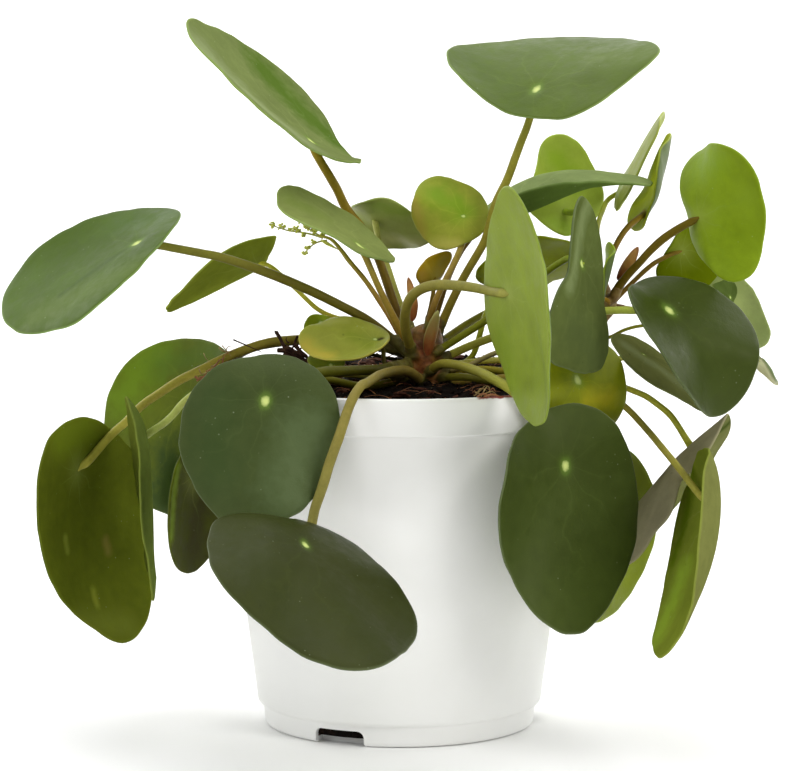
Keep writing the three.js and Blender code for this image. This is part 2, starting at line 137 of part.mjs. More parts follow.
    stalk: [[17.72, -11.3, 111.61], [22.11, -12.89, 112.27], [26.65, -14.08, 112.83], [31.27, -14.92, 113.34], [35.94, -15.53, 113.78], [40.64, -15.92, 114.12], [45.37, -15.97, 114.27], [50.08, -15.53, 114.32], [54.74, -14.72, 114.11], [59.24, -13.79, 113.06], [63.15, -12.62, 110.68], [66.9, -11.83, 107.91], [70.64, -11.59, 105.04], [73.85, -13.48, 102.23], [76.23, -16.78, 99.83], [78.38, -20.36, 97.59], [80.19, -24.26, 95.62], [81.95, -28.18, 93.63], [84.1, -31.6, 91.17], [86.58, -34.38, 88.26], [89.03, -37.1, 85.26], [91.42, -39.72, 82.13], [93.76, -42.76, 79.39], [95.06, -45.53, 78.68], [95.66, -46.97, 78.46]] },
  { name: 'leaf_26', colour: 0x3f4c2a, side: 0, r: 1.8,
    blade: [-40.8156, -61, 111.5547, 0.9669, -1.887, 2.6104, 27.3236, 24.6563, 11.2103, 0.0785, 0.2081, 0.0128, -0.0477, 0.0112, -0.007, 0.0303, 0.0224, 0.0001, -0.0049, 0.0042, -0.0017, 0.0055, -0.0061, 0.0251, 0.0369, -0.0547, 0.0104, 0.046, 0.0298, -0.0019, 0.0348, 0, 0, 1],
    base: [[6.68, -6.06, 115.61], [2.72, -9.24, 116.74], [1.4, -12.84, 117.14], [0.11, -15.73, 117.26], [-1.17, -18.4, 117.33], [-2.59, -21.8, 117.44], [-3.17, -22.96, 117.45]],
    stalk: [[-3.4, -23.31, 117.45], [-5.95, -27.08, 117.53], [-8.53, -30.83, 117.75], [-11.15, -34.59, 118.05], [-13.84, -38.35, 118.36], [-16.61, -42.1, 118.63], [-19.38, -45.89, 118.99], [-22.35, -49.53, 119.22], [-25.89, -52.51, 118.93], [-30.12, -54.33, 117.95], [-34.29, -55.87, 116.24], [-37.89, -57.33, 113.47], [-39.87, -59.4, 112.07], [-40.79, -60.52, 111.42]] },
  { name: 'leaf_27', colour: 0x3e4a29, side: 0, r: 1.65,
    blade: [-27.7334, -91, 72.2447, -1.1968, -0.6846, -0.2636, 34.7619, 31.5984, 14.9918, 0.0878, 0.1157, 0.1003, 0.0399, -0.0013, 0.0371, 0.0512, 0.0196, -0.0037, -0.0265, 0.0457, -0.0083, -0.0082, 0.0046, 0.1353, 0.023, 0.0074, -0.0199, 0.0259, 0.0229, 0.0454, 0.0243, 0, 0, 1],
    base: [[7.72, -6.72, 111.09], [6.89, -11.89, 112.21], [6.3, -13.21, 112.84], [5.87, -14.18, 113.31]],
    stalk: [[5.71, -14.53, 113.48], [3.9, -18.55, 115.24], [2, -22.65, 116.66], [-0.12, -26.86, 117.17], [-2.21, -31.11, 117.34], [-4.19, -35.42, 117.33], [-6.01, -39.8, 117.16], [-7.39, -44.32, 116.87], [-8.7, -48.87, 116.46], [-10.09, -53.38, 116.06], [-11.68, -57.83, 115.81], [-13.72, -61.17, 113.24], [-15.5, -63.48, 109.52], [-16.94, -65.4, 105.43], [-18.24, -67.63, 101.47], [-19.84, -67.81, 97.05], [-21.39, -67.51, 92.58], [-22.73, -67.66, 88.03], [-24.18, -67.25, 83.55], [-25.7, -66.38, 79.14], [-26.62, -65.91, 74.52], [-27.1, -66.37, 69.89], [-27.46, -70.16, 67.22], [-27.66, -74.76, 66.16], [-27.77, -79.48, 66.44], [-27.85, -84.03, 67.75], [-27.9, -86.79, 69.29], [-27.94, -89.42, 71.03], [-27.97, -90.76, 71.87]] },
  { name: 'leaf_28', colour: 0x465510, side: 0, r: 1.3,
    blade: [-71.3746, 42, 99.5902, 2.7574, -1.13, -1.3341, 30.699, 28.4934, 10.2994, 0.0978, 0.0061, -0.0457, 0.0176, 0.0096, 0.0107, -0.0264, -0.0059, -0.0131, -0.0201, -0.003, 0.0033, -0.0008, -0.0056, 0.0139, -0.085, -0.0158, -0.0377, 0.0372, 0.059, -0.0081, -0.0192, 0, 0, 1],
    base: [[6.76, -3.92, 118.27], [3.04, -0.68, 119.39], [0.44, 2.78, 119.84], [-2.21, 4.43, 120.55], [-4.88, 5.88, 121.21], [-7.57, 7.29, 121.74], [-10.26, 8.68, 122.18], [-11.24, 9.19, 122.33]],
    stalk: [[-11.61, 9.38, 122.38], [-15.66, 11.53, 122.81], [-19.71, 13.75, 122.98], [-23.76, 16.02, 122.79], [-27.78, 18.34, 122.37], [-31.76, 20.75, 121.82], [-35.66, 23.32, 121.27], [-39.44, 26.09, 120.65], [-43.21, 28.81, 119.77], [-47.05, 31.52, 118.68], [-50.87, 34.6, 117], [-54.54, 37.99, 114.42], [-57.96, 39.94, 111.5], [-61.21, 40.82, 108.49], [-64.15, 41.81, 105.2], [-67.13, 42.67, 101.87], [-69.74, 42.57, 100.27], [-71.09, 42.41, 99.54]] },
  { name: 'leaf_29', colour: 0x4a5814, side: 0, r: 1.6,
    blade: [-105.6111, 8, 80.8998, 1.0413, -1.2796, -1.5519, 37.5899, 32.4325, 19.6661, 0.1691, 0.1804, -0.0178, -0.0358, -0.0028, -0.0485, 0.0359, 0.0313, 0.0301, 0.0036, 0.0125, -0.0193, 0.0047, 0.0072, -0.1007, -0.0479, -0.0411, -0.0091, -0.0146, 0.0344, 0.03, 0, 0, 0, 1],
    base: [[6.68, -4.04, 118.96], [2.72, -1.15, 120.09], [-0.07, 0.03, 120.94], [-2.73, 1.28, 121.76], [-5.45, 2.73, 122.43], [-8.26, 4.14, 122.94], [-11.12, 5.54, 123.36], [-12.18, 6.05, 123.49]],
    stalk: [[-12.57, 6.22, 123.53], [-17.01, 8.05, 123.91], [-21.63, 9.39, 123.97], [-26.37, 10.19, 123.71], [-31.12, 10.73, 123.31], [-35.89, 11.23, 122.99], [-40.64, 11.57, 122.45], [-45.31, 11.87, 121.4], [-49.86, 12.12, 119.87], [-54.32, 12.37, 118.13], [-58.68, 12.66, 116.15], [-62.93, 13.01, 113.95], [-67.25, 13.41, 111.89], [-71.5, 14, 109.74], [-75.44, 15.05, 107.21], [-79.24, 16.25, 104.55], [-83.07, 17.47, 101.91], [-86.53, 18.58, 98.8], [-89.74, 18.82, 95.32], [-93.13, 16.98, 92.5], [-96.21, 14.84, 89.51], [-98.97, 12.58, 86.29], [-101.82, 10.23, 83.24], [-104.04, 8.58, 81.64], [-105.18, 7.74, 80.9]] },
  { name: 'leaf_30', colour: 0x6c8040, side: 0, r: 1.3,
    blade: [-80.8118, -5, 90.644, -1.3838, -1.5785, -1.5929, 33.4722, 26.2019, 16.9364, 0.0732, 0.0965, -0.013, -0.008, -0.0526, 0.0166, -0.047, 0.0071, -0.0091, -0.0339, -0.0373, -0.0344, -0.03, -0.0045, 0.1244, 0.0881, -0.015, 0.0282, 0.0004, -0.0104, -0.0074, -0.0101, 0, 0, 1],
    base: [[6.6, -5.98, 114.3], [2.4, -8.92, 115.42], [-0.01, -10.36, 114.99], [-2.3, -12.3, 114.62], [-3.16, -13.13, 114.51]],
    stalk: [[-3.47, -13.41, 114.5], [-7.15, -16.61, 114.59], [-10.91, -19.66, 115.09], [-14.82, -22.46, 115.68], [-18.99, -24.8, 116.17], [-23.41, -26.59, 116.53], [-27.99, -27.91, 116.81], [-32.68, -28.78, 116.94], [-37.42, -29.19, 116.83], [-42.17, -29.14, 116.57], [-46.88, -28.65, 116.09], [-51.43, -27.55, 115.24], [-55.59, -25.61, 113.98], [-59.4, -23.27, 112.34], [-62.94, -20.78, 110.35], [-66.18, -18.19, 108.02], [-69.24, -15.95, 105.15], [-72, -14.1, 101.74], [-75.19, -12.4, 98.65], [-78.93, -11.01, 96.05], [-82.06, -8.93, 93.25], [-81.7, -6.4, 91.47], [-81.3, -5.1, 90.64]] },
  { name: 'leaf_31', colour: 0x505e1e, side: 0, r: 1.25,
    blade: [-64.8369, -37.7, 85.2951, 1.185, -1.4883, -1.357, 20.5146, 17.9414, 9.1397, 0.0799, 0.1594, 0.0357, -0.0422, -0.0034, 0.0847, -0.0081, 0.0282, 0, 0, 0, 0, 0, 0, 0, 0, 0, 0, 0, 0, 0, 0, 0, 0, 1],
    base: [[6.76, -6.21, 112.47], [3.04, -9.82, 113.59], [1.13, -12.32, 113.12], [-0.74, -14.12, 112.7], [-2.6, -16.39, 112.4], [-3.3, -17.36, 112.33]],
    stalk: [[-3.54, -17.7, 112.31], [-6.47, -21.66, 112.14], [-9.52, -25.5, 112.1], [-13.07, -28.77, 112.52], [-16.97, -31.37, 113.57], [-21.15, -33.31, 114.77], [-25.69, -34.24, 115.7], [-30.36, -34.09, 116.47], [-35.04, -33.6, 116.99], [-39.76, -33.35, 117.13], [-44.49, -33.14, 117.01], [-49.12, -33, 116.07], [-53.07, -33.07, 113.52], [-56.14, -33.3, 109.92], [-58.4, -33.67, 105.79], [-59.85, -34.17, 101.31], [-60.96, -34.97, 96.78], [-61.47, -36.29, 92.26], [-62.05, -37.17, 89.29], [-63.56, -37.73, 86.59], [-64.42, -37.98, 85.29]] },
  { name: 'leaf_32', colour: 0x9c9834, side: 0, r: 0.8,
    blade: [-7.8264, -14, 126.1184, -3.0414, 0.0083, -0.8489, 13.385, 10.8977, 9.2821, -0.0211, -0.0375, -0.0952, 0.1093, 0.0661, -0.0005, 0.0061, 0.0056, 0.0191, 0.0182, 0.0293, -0.0382, -0.0061, -0.0032, -0.0958, 0.1582, -0.0121, -0.0798, 0.0277, 0.0501, -0.0267, -0.0692, 0, 0, 1],
    base: [[6.84, -6.26, 113.78], [3.36, -10.06, 114.9], [1.71, -13.79, 114.53], [-0.03, -16.39, 114.05], [-1.96, -18.27, 114.34], [-3.86, -19.84, 116.1], [-4.85, -19.67, 118.44]],
    stalk: [[-4.85, -19.53, 118.83], [-5.24, -17.05, 122.74], [-6.25, -14.65, 122.4], [-7.38, -13.7, 124.35], [-7.87, -13.63, 125.79]] },
  { name: 'leaf_33', colour: 0x7a7c2c, side: 0, r: 0.6,
    blade: [-25.6338, 3, 129.1697, -2.3424, -1.4474, -0.4764, 5.6346, 5.1433, 2.2517, 0.0363, 0.0295, 0.0021, -0.0426, 0.013, 0.0175, 0.0401, -0.0092, -0.007, 0.0003, -0.0089, -0.0078, -0.0148, -0.0047, -0.0259, -0.1147, -0.0585, 0.0026, -0.0673, 0.0868, -0.1206, 0.0156, 0, 0, 1],
    base: [[6.68, -3.97, 116.03], [2.72, -0.87, 117.15], [1.57, -0.72, 117.37]],
    stalk: [[1.16, -0.66, 117.45], [-3.5, -0.05, 118.27], [-8.15, 0.57, 119.23], [-12.73, 1.24, 120.45], [-17.23, 2.36, 121.94], [-22.2, 3.99, 125.62], [-24.34, 3.77, 127.99], [-25.49, 3.48, 129.12]] },
  { name: 'leaf_34', colour: 0x735f1c, side: 0, r: 0.75,
    blade: [10.8209, 6, 144.5166, -1.8227, 1.1005, 0.8988, 6.3786, 6.436, 2.2352, -0.0815, 0.0265, -0.0195, -0.101, -0.0791, 0.114, -0.1137, 0.0708, 0.0056, 0.0327, 0.0467, -0.0043, 0.0005, -0.0105, -0.1878, 0.0261, 0.0801, -0.0567, 0.0352, -0.1391, -0.0147, -0.0603, 0, 0, 1],
    base: [[8.2, -3.56, 126.6], [8.79, 0.76, 129.91], [9.15, 1.35, 131.37], [9.54, 1.45, 132.85], [9.85, 1.72, 133.9]],
    stalk: [[9.95, 1.85, 134.29], [10.96, 4.2, 139.96], [11.16, 5.32, 142.85], [11.13, 5.63, 144.38]] },
  { name: 'leaf_35', colour: 0x5c6c20, side: 0, r: 0.95,
    blade: [34.4967, 12, 146.3366, -0.0123, 0.229, -0.7731, 16.5591, 14.1063, 7.8919, 0.1077, -0.011, 0.0838, 0.0272, 0.0363, 0.0051, -0.0784, 0.0149, -0.0197, 0.0089, -0.0089, -0.0282, -0.0163, -0.0158, -0.0175, 0.025, 0.0454, -0.0132, -0.037, 0.0345, 0.0099, -0.0541, 0, 0, 1],
    base: [[9.64, -4.56, 114.34], [14.57, -3.23, 115.46], [15.63, -2.87, 115.69]],
    stalk: [[16.02, -2.74, 115.76], [20.37, -1.24, 116.63], [23.67, 0.29, 119.39], [25.25, 1.84, 123.5], [26.47, 3.38, 127.75], [27.73, 4.92, 131.99], [29.95, 6.35, 135.85], [32.03, 8.26, 139.55], [32.88, 10.07, 141.94], [33.98, 11.23, 144.61], [34.57, 11.65, 145.99]] },
  { name: 'leaf_36', colour: 0x7a7a30, side: 0, r: 0.7,
    blade: [-21.9127, -10, 117.4611, 2.292, 0.5817, -0.3488, 5.7435, 5.4838, 2.5474, 0.0844, -0.001, 0.0723, 0.0248, -0.0633, 0.0678, -0.0036, -0.0517, 0, 0, 0, 0, 0, 0, 0, 0, 0, 0, 0, 0, 0, 0, 0, 0, 1],
    base: [[6.6, -6.02, 112.07], [2.4, -9.08, 113.19], [0.84, -8.86, 113.13], [-0.72, -8.86, 113.09], [-1.85, -8.9, 113.07]],
    stalk: [[-2.27, -8.91, 113.08], [-6.92, -9.07, 113.37], [-11.55, -9.03, 113.96], [-17.58, -8.58, 115.38], [-20.51, -9.22, 116.47], [-21.95, -9.69, 117.07]] },
  { name: 'leaf_37', colour: 0x7a8a30, side: 1, r: 0.7,
    blade: [65.8045, -7, 139.7507, 1.0896, 1.259, 2.1177, 9.7818, 8.876, 6.4355, 0.0882, 0.0848, 0.0933, -0.1239, -0.015, -0.0183, 0.0422, 0.0282, -0.0105, -0.0342, 0.0354, -0.0085, 0.0027, 0.0316, -0.0149, 0.0274, 0.0375, 0.0131, -0.0268, 0.0149, -0.0598, 0.005, 0, 0, 1],
    base: [[67.78, 0.54, 136.38], [67.72, -1.05, 136.26], [66.77, -2.53, 137.03], [66.14, -3.1, 137.47]],
    stalk: [[65.81, -3.32, 137.61], [64.77, -4.04, 138.05], [64.6, -6.04, 139.24], [65.31, -7.02, 139.83]] },
];

const FLOWER = { r: 0.85, base: [[6.45, -5.39, 122.08], [1.82, -6.55, 123.21], [1.08, -5.82, 124.52], [0.32, -5.58, 125.86], [-0.24, -5.5, 126.84]], stalk: [[-0.45, -5.48, 127.21], [-2.77, -5.2, 131.24], [-5.18, -4.72, 135.19], [-7.7, -4.04, 139.05], [-10.32, -3.14, 142.79], [-13.14, -1.91, 146.27], [-16.06, -0.43, 149.58], [-18.77, 1.01, 153.08], [-21.87, 2.12, 156.36], [-26.17, 3.24, 157.71], [-29.11, 3.98, 158.37], [-30.59, 4, 158.85]] };
const BUD_CLUSTERS = [[-37.5, 5, 159.6, 1.7], [-34, 3.6, 159.2, 1.6], [-30.4, 3.4, 158.2, 1.6], [-28.3, 6.4, 160.6, 1.6], [-27.2, 3.2, 151.6, 1.5], [-24.2, 1, 155, 1.4]];
const FLOWER_BRANCHES = [[[-27.6, 4, 157.4], [-30.4, 3.6, 158.2], [-34, 3.7, 159.1], [-37.5, 5, 159.6]], [[-27.6, 4, 157.4], [-28.3, 6.4, 160.6]], [[-22.2, 2.6, 156.3], [-25.6, 2.8, 153.4], [-27.2, 3.2, 151.6]], [[-20.3, 2, 155.2], [-24.2, 1, 155]]];
const SCALES = [
  { name: 'bud_scale_left', colour: 0xb08a5a, blade: [3.9899, -6, 131.3398, -2.1424, 1.3979, -3.0303, 7.2748, 1.7742, 6.2563, 0.05, 0.3, 0, 0, 0, 0, 0.05, 0, 0, 0, 0, 0, 0, 0, 0, 0, 0, 0, 0, 0, 0, 0, 0, 0, 1] },
  { name: 'bud_scale_front', colour: 0xa87848, blade: [9.0647, -11.9, 120.8581, -0.8559, 1.2438, 2.6831, 7.811, 2.0968, 6.7174, 0.05, 0.25, 0, 0, 0, 0, 0.05, 0, 0, 0, 0, 0, 0, 0, 0, 0, 0, 0, 0, 0, 0, 0, 0, 0, 1] },
  { name: 'bud_scale_right', colour: 0xb59a6a, blade: [70.439, 2.6, 143.632, -0.3492, 1.0199, 1.5195, 6.4644, 1.9355, 5.5593, 0.05, 0.2, 0, 0, 0, 0, 0.05, 0, 0, 0, 0, 0, 0, 0, 0, 0, 0, 0, 0, 0, 0, 0, 0, 0, 1] },
];

// ---- solids ----
function solid(geometry) {
  const g = new THREE.BufferGeometry().setAttribute('position', geometry.getAttribute('position').clone());
  if (geometry.index) g.setIndex(geometry.index.clone());
  const m = mergeVertices(g, 1e-4);
  return new wasm.Manifold(new wasm.Mesh({
    numProp: 3,
    vertProperties: new Float32Array(m.attributes.position.array),
    triVerts: new Uint32Array(m.index.array),
  }));
}

function geometryOf(manifold) {
  const m = manifold.getMesh(), n = m.numProp;
  const v = new Float32Array((m.vertProperties.length / n) * 3);
  for (let i = 0; i < v.length / 3; i++) v.set(m.vertProperties.subarray(i * n, i * n + 3), i * 3);
  const g = new THREE.BufferGeometry();
  g.setAttribute('position', new THREE.BufferAttribute(v, 3));
  g.setIndex(new THREE.BufferAttribute(new Uint32Array(m.triVerts), 1));
  g.computeVertexNormals();
  return g;
}

// the largest of the pieces that a cut leaves
function largest(manifold) {
  return manifold.decompose().sort((p, q) => q.volume() - p.volume())[0];
}

// a closed round tube along a smooth curve through the points, thicker at its start by flare
function tube(points, r, { sides = 6, step = 7, flare = 1, end = 1 } = {}) {
  const curve = new THREE.CatmullRomCurve3(points.map((p) => new THREE.Vector3(...p)), false, 'centripetal');
  const length = curve.getLength(), steps = Math.max(1, Math.round(length / step));
  const section = new THREE.Shape();
  for (let i = 0; i < sides; i++) {
    const t = (i / sides) * Math.PI * 2;
    if (i) section.lineTo(r * Math.cos(t), r * Math.sin(t));
    else section.moveTo(r * Math.cos(t), r * Math.sin(t));
  }
  section.closePath();
  const g = new THREE.ExtrudeGeometry(section, { steps, bevelEnabled: false, extrudePath: curve });
  const centres = curve.getSpacedPoints(steps), p = g.getAttribute('position'), v = new THREE.Vector3();
  for (let i = 0; i < p.count; i++) {
    v.fromBufferAttribute(p, i);
    let best = 0, near = Infinity;
    centres.forEach((c, k) => { const d = c.distanceToSquared(v); if (d < near) { near = d; best = k; } });
    const t = best / steps, scale = t < 0.15 ? flare + (1 - flare) * (t / 0.15) : 1 + (end - 1) * ((t - 0.15) / 0.85);
    v.sub(centres[best]).multiplyScalar(scale).add(centres[best]);
    p.setXYZ(i, v.x, v.y, v.z);
  }
  const s = solid(g);
  return s;
}

function bladeFrame([, , , az, el, roll]) {
  const ca = Math.cos(az), sa = Math.sin(az), ce = Math.cos(el), se = Math.sin(el), cr = Math.cos(roll), sr = Math.sin(roll);
  const x = new THREE.Vector3(ca * ce, sa * ce, se), y0 = new THREE.Vector3(-sa, ca, 0), z0 = new THREE.Vector3().crossVectors(x, y0);
  const y = y0.clone().multiplyScalar(cr).addScaledVector(z0, sr), z = new THREE.Vector3().crossVectors(x, y);
  return { x, y, z };
}

// the upper face of a blade: ring 0 is the point over the stalk and ring 1 the margin
function bladePoint(q, f, ring, angle) {
  const [px, py, pz, , , , a, b, off, s1, s2, twist, cubic] = q;
  let h = 1, lift = 0;
  for (let k = 2; k <= 6; k++) h += q[13 + 2 * (k - 2)] * Math.cos(k * angle) + q[14 + 2 * (k - 2)] * Math.sin(k * angle);
  for (let k = 1; k <= 4; k++) lift += q[23 + 2 * (k - 1)] * Math.cos(k * angle) + q[24 + 2 * (k - 1)] * Math.sin(k * angle);
  const [dentAt, dent, dentWide] = q.slice(31);
  if (dent) {
    const d = THREE.MathUtils.euclideanModulo(angle - dentAt + Math.PI, 2 * Math.PI) - Math.PI;
    h -= dent * Math.exp(-((d / dentWide) ** 2));
  }
  const X = ring * (off + a * Math.cos(angle) * h), Y = ring * b * Math.sin(angle) * h;
  const u = (X - off) / a, v = Y / b;
  const Z = a * (-s1 * u * u - s2 * v * v + twist * u * v + cubic * v ** 3 + ring ** 2.5 * lift) + a * s1 * (off / a) ** 2;
  return new THREE.Vector3(px, py, pz).addScaledVector(f.x, X).addScaledVector(f.y, Y).addScaledVector(f.z, Z);
}

function bladeNormal(q, f, ring, angle) {
  const c = Math.cos(angle), s = Math.sin(angle), e = 0.03;
  const at = (x, y) => bladePoint(q, f, Math.hypot(x, y), Math.atan2(y, x));
  const x = ring * c, y = ring * s;
  const dx = at(x + e, y).sub(at(x - e, y)), dy = at(x, y + e).sub(at(x, y - e));
  const n = dx.cross(dy).normalize();
  return n.dot(f.z) < 0 ? n.negate() : n;
}

// a sphere whose upper half becomes the upper face, its lower half the underside and its
// equator the margin
function bladeGeometry(q, thickness, around = 18, rows = 6) {
  const f = bladeFrame(q), g = new THREE.SphereGeometry(1, around, rows), p = g.getAttribute('position');
  for (let i = 0; i < p.count; i++) {
    const x = p.getX(i), y = p.getY(i), z = p.getZ(i);
    const ring = Math.min(1, Math.hypot(x, z)), angle = ring < 1e-6 ? 0 : Math.atan2(-z, x);
    const n = bladeNormal(q, f, ring < 1e-6 ? 1e-3 : ring, angle);
    const depth = y > 1e-6 ? (ring > 0.95 ? 0.25 : 0) : y < -1e-6 ? 1 : 0.5;
    const v = bladePoint(q, f, ring < 1e-6 ? 0 : ring, angle).addScaledVector(n, -thickness * depth);
    p.setXYZ(i, v.x, v.y, v.z);
  }
  return g;
}

const group = new THREE.Group();
function add(name, geometry, colour, roughness, metalness = 0) {
  const mesh = new THREE.Mesh(geometry, new THREE.MeshStandardMaterial({ color: colour, roughness, metalness }));
  mesh.name = name;
  group.add(mesh);
  return mesh;
}

// ---- pot ----
{
  const R = RIM_RADIUS, H = POT_HEIGHT, zb = H - RIM_BAND, in0 = NECK_RADIUS - WALL;
  const profile = [[0, 0], [FOOT_RADIUS - 1.6, 0], [FOOT_RADIUS - 0.4, 0.6], [FOOT_RADIUS, 2], [FOOT_RADIUS + 0.3, FOOT_HEIGHT - 0.6],
    [BODY_RADIUS, FOOT_HEIGHT + 0.6], [NECK_RADIUS, zb - 0.3], [R - 0.7, zb], [R, H - 1.2], [R - 0.4, H - 0.3], [R - 1.1, H], [R - 1.7, H - 0.4],
    [R - 1.9, H - 1.4], [R - 2.3, zb + 0.6], [in0, zb - 1], [BODY_RADIUS - WALL + 0.1, FOOT_HEIGHT + 1.2],
    [FOOT_RADIUS - WALL + 0.1, FOOT_HEIGHT - 0.4], [FOOT_RADIUS - WALL - 0.2, BASE], [0, BASE]].map(([x, y]) => new THREE.Vector2(x, y));
  let pot = solid(new THREE.LatheGeometry(profile, POT_SIDES).rotateX(Math.PI / 2));
  if (pot.volume() < 0) throw new Error('pot profile is reversed');
  for (let i = 0; i < NOTCH.count; i++) {
    const t = THREE.MathUtils.degToRad(NOTCH.first + (i * 360) / NOTCH.count);
    const cutter = new THREE.BoxGeometry(12, NOTCH.width, NOTCH.height + 2);
    cutter.translate(FOOT_RADIUS, 0, NOTCH.height / 2 - 1).rotateZ(t);
    pot = pot.subtract(solid(cutter));
  }
  add('pot', geometryOf(largest(pot)), 0xf2f2ee, 0.55);
}

// ---- stems, with the bases of the leaf stalks grown into them ----
const stemParts = { main: [], side: [] };
{
  const { x, y, z0, z1, r0, r1 } = STEM, n = 8, profile = [new THREE.Vector2(0, z0)];
  for (let i = 0; i <= n; i++) {
    const t = i / n;
    profile.push(new THREE.Vector2(r0 + (r1 - r0) * t ** 1.5 + 0.25 * Math.sin(t * 19), z0 + (z1 - z0) * t));
  }
  profile.push(new THREE.Vector2(r1 * 0.6, z1 + 2), new THREE.Vector2(0, z1 + 2.6));
  stemParts.main.push(solid(new THREE.LatheGeometry(profile, 14).rotateX(Math.PI / 2).translate(x, y, 0)));
  stemParts.side.push(tube(SIDE_STEM.path, SIDE_STEM.r, { sides: 8, step: 5, end: 0.85 }));
  for (const l of [...LEAVES, { ...FLOWER, side: 0 }]) if (l.base.length > 1) stemParts[l.side ? 'side' : 'main'].push(tube(l.base, l.r, { step: 2.5 }));
}
const mainStem = stemParts.main.reduce((s, p) => s.add(p));
const sideStem = stemParts.side.reduce((s, p) => s.add(p));
add('main_stem', geometryOf(largest(mainStem)), 0x7a4224, 0.7);
add('side_stem', geometryOf(largest(sideStem)), 0x8a7a3a, 0.65);

// ---- soil ----
function soilHeight(x, y) {
  const s = (t) => { const c = THREE.MathUtils.clamp(t, 0, 1); return c * c * (3 - 2 * c); };
  return SOIL_LEVEL + 1.7 * s((y + 12) / 50) - 3.1 * s((-y - 13) / 36) + 0.25 * Math.sin(x * 0.21 + y * 0.13) + 0.2 * Math.sin(y * 0.31 - x * 0.17);
}
{
  const H = POT_HEIGHT, zb = H - RIM_BAND, g = SOIL_GAP, top = SOIL_LEVEL;
  const profile = [[0, BASE + g], [FOOT_RADIUS - WALL - 0.6, BASE + g], [FOOT_RADIUS - WALL - 0.35, FOOT_HEIGHT - 0.2], [BODY_RADIUS - WALL - 0.3, FOOT_HEIGHT + 1.7],
    [NECK_RADIUS - WALL - 0.35, zb - 0.9], [RIM_RADIUS - 2.75, zb + 1], [RIM_RADIUS - 2.35, H - 5], [RIM_RADIUS - 3.2, top], [47, top], [36, top], [25, top], [14, top], [0, top]];
  const lathe = new THREE.LatheGeometry(profile.map(([r, z]) => new THREE.Vector2(r, z)), 40).rotateX(Math.PI / 2);
  const p = lathe.getAttribute('position');
  for (let i = 0; i < p.count; i++) if (Math.abs(p.getZ(i) - top) < 1e-3) p.setZ(i, soilHeight(p.getX(i), p.getY(i)));
  let soil = solid(lathe);
  const { x, y, z0, r0 } = STEM;
  soil = soil.subtract(solid(new THREE.CylinderGeometry(r0 + 0.75, r0 + 0.75, 20, 16).rotateX(Math.PI / 2).translate(x, y, z0 - 0.3 + 10)));
  soil = soil.subtract(tube([[38.9, 8.01, 108.1], ...SIDE_STEM.path.slice(1, 3)], SIDE_STEM.r + GAP + 0.1, { sides: 8, step: 5 }));
  for (const l of LEAVES) {
    const path = [...l.base, ...l.stalk.slice(l.base.length ? 1 : 0, 9)].filter((q) => Math.hypot(q[0], q[1]) < 57);
    if (path.some((q) => q[2] - l.r - GAP < soilHeight(q[0], q[1]) + 0.1)) soil = soil.subtract(tube(path, l.r * 1.1 + GAP, { step: 4 }));
  }
  add('soil', geometryOf(largest(soil)), 0x1c120c, 1);
}

// ---- leaves ----
for (const l of LEAVES) {
  const blade = solid(bladeGeometry(l.blade, BLADE, l.blade[6] < 16 ? 14 : 18, 6));
  const stalk = tube(l.stalk, l.r, { step: 7.5, end: 0.86 });
  add(l.name, geometryOf(largest(blade.add(stalk))), l.colour, 0.45);
}

// ---- flower stalk with its branches and buds ----
{
  let s = tube(FLOWER.stalk, FLOWER.r, { step: 6, end: 0.7 });
  for (const b of FLOWER_BRANCHES) s = s.add(tube(b, 0.42, { step: 3, sides: 5 }));
  for (const [x, y, z, r] of BUD_CLUSTERS) s = s.add(solid(new THREE.SphereGeometry(r, 8, 6).translate(x, y, z)));
  add('flower_stalk', geometryOf(largest(s)), 0xa9713a, 0.7);
}

// ---- bud scales ----
for (const s of SCALES) add(s.name, geometryOf(solid(bladeGeometry(s.blade, SCALE, 12, 6))), s.colour, 0.8);

export default group;
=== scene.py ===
import bpy, bmesh, math
import numpy as np
from mathutils import Matrix, Vector


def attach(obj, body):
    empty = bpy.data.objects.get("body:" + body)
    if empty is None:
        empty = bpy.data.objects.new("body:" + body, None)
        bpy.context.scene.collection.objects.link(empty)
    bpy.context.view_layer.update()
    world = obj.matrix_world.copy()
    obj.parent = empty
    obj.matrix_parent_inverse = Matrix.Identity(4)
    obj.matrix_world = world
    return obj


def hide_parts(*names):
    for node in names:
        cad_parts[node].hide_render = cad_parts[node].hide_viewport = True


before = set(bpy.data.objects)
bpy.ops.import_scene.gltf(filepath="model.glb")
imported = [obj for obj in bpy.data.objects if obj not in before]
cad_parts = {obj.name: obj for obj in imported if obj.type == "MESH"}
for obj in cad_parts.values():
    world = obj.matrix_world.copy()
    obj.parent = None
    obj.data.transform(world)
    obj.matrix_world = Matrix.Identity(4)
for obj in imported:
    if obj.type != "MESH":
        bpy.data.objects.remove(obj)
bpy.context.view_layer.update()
MM = 0.001
RNG = np.random.default_rng(20240611)

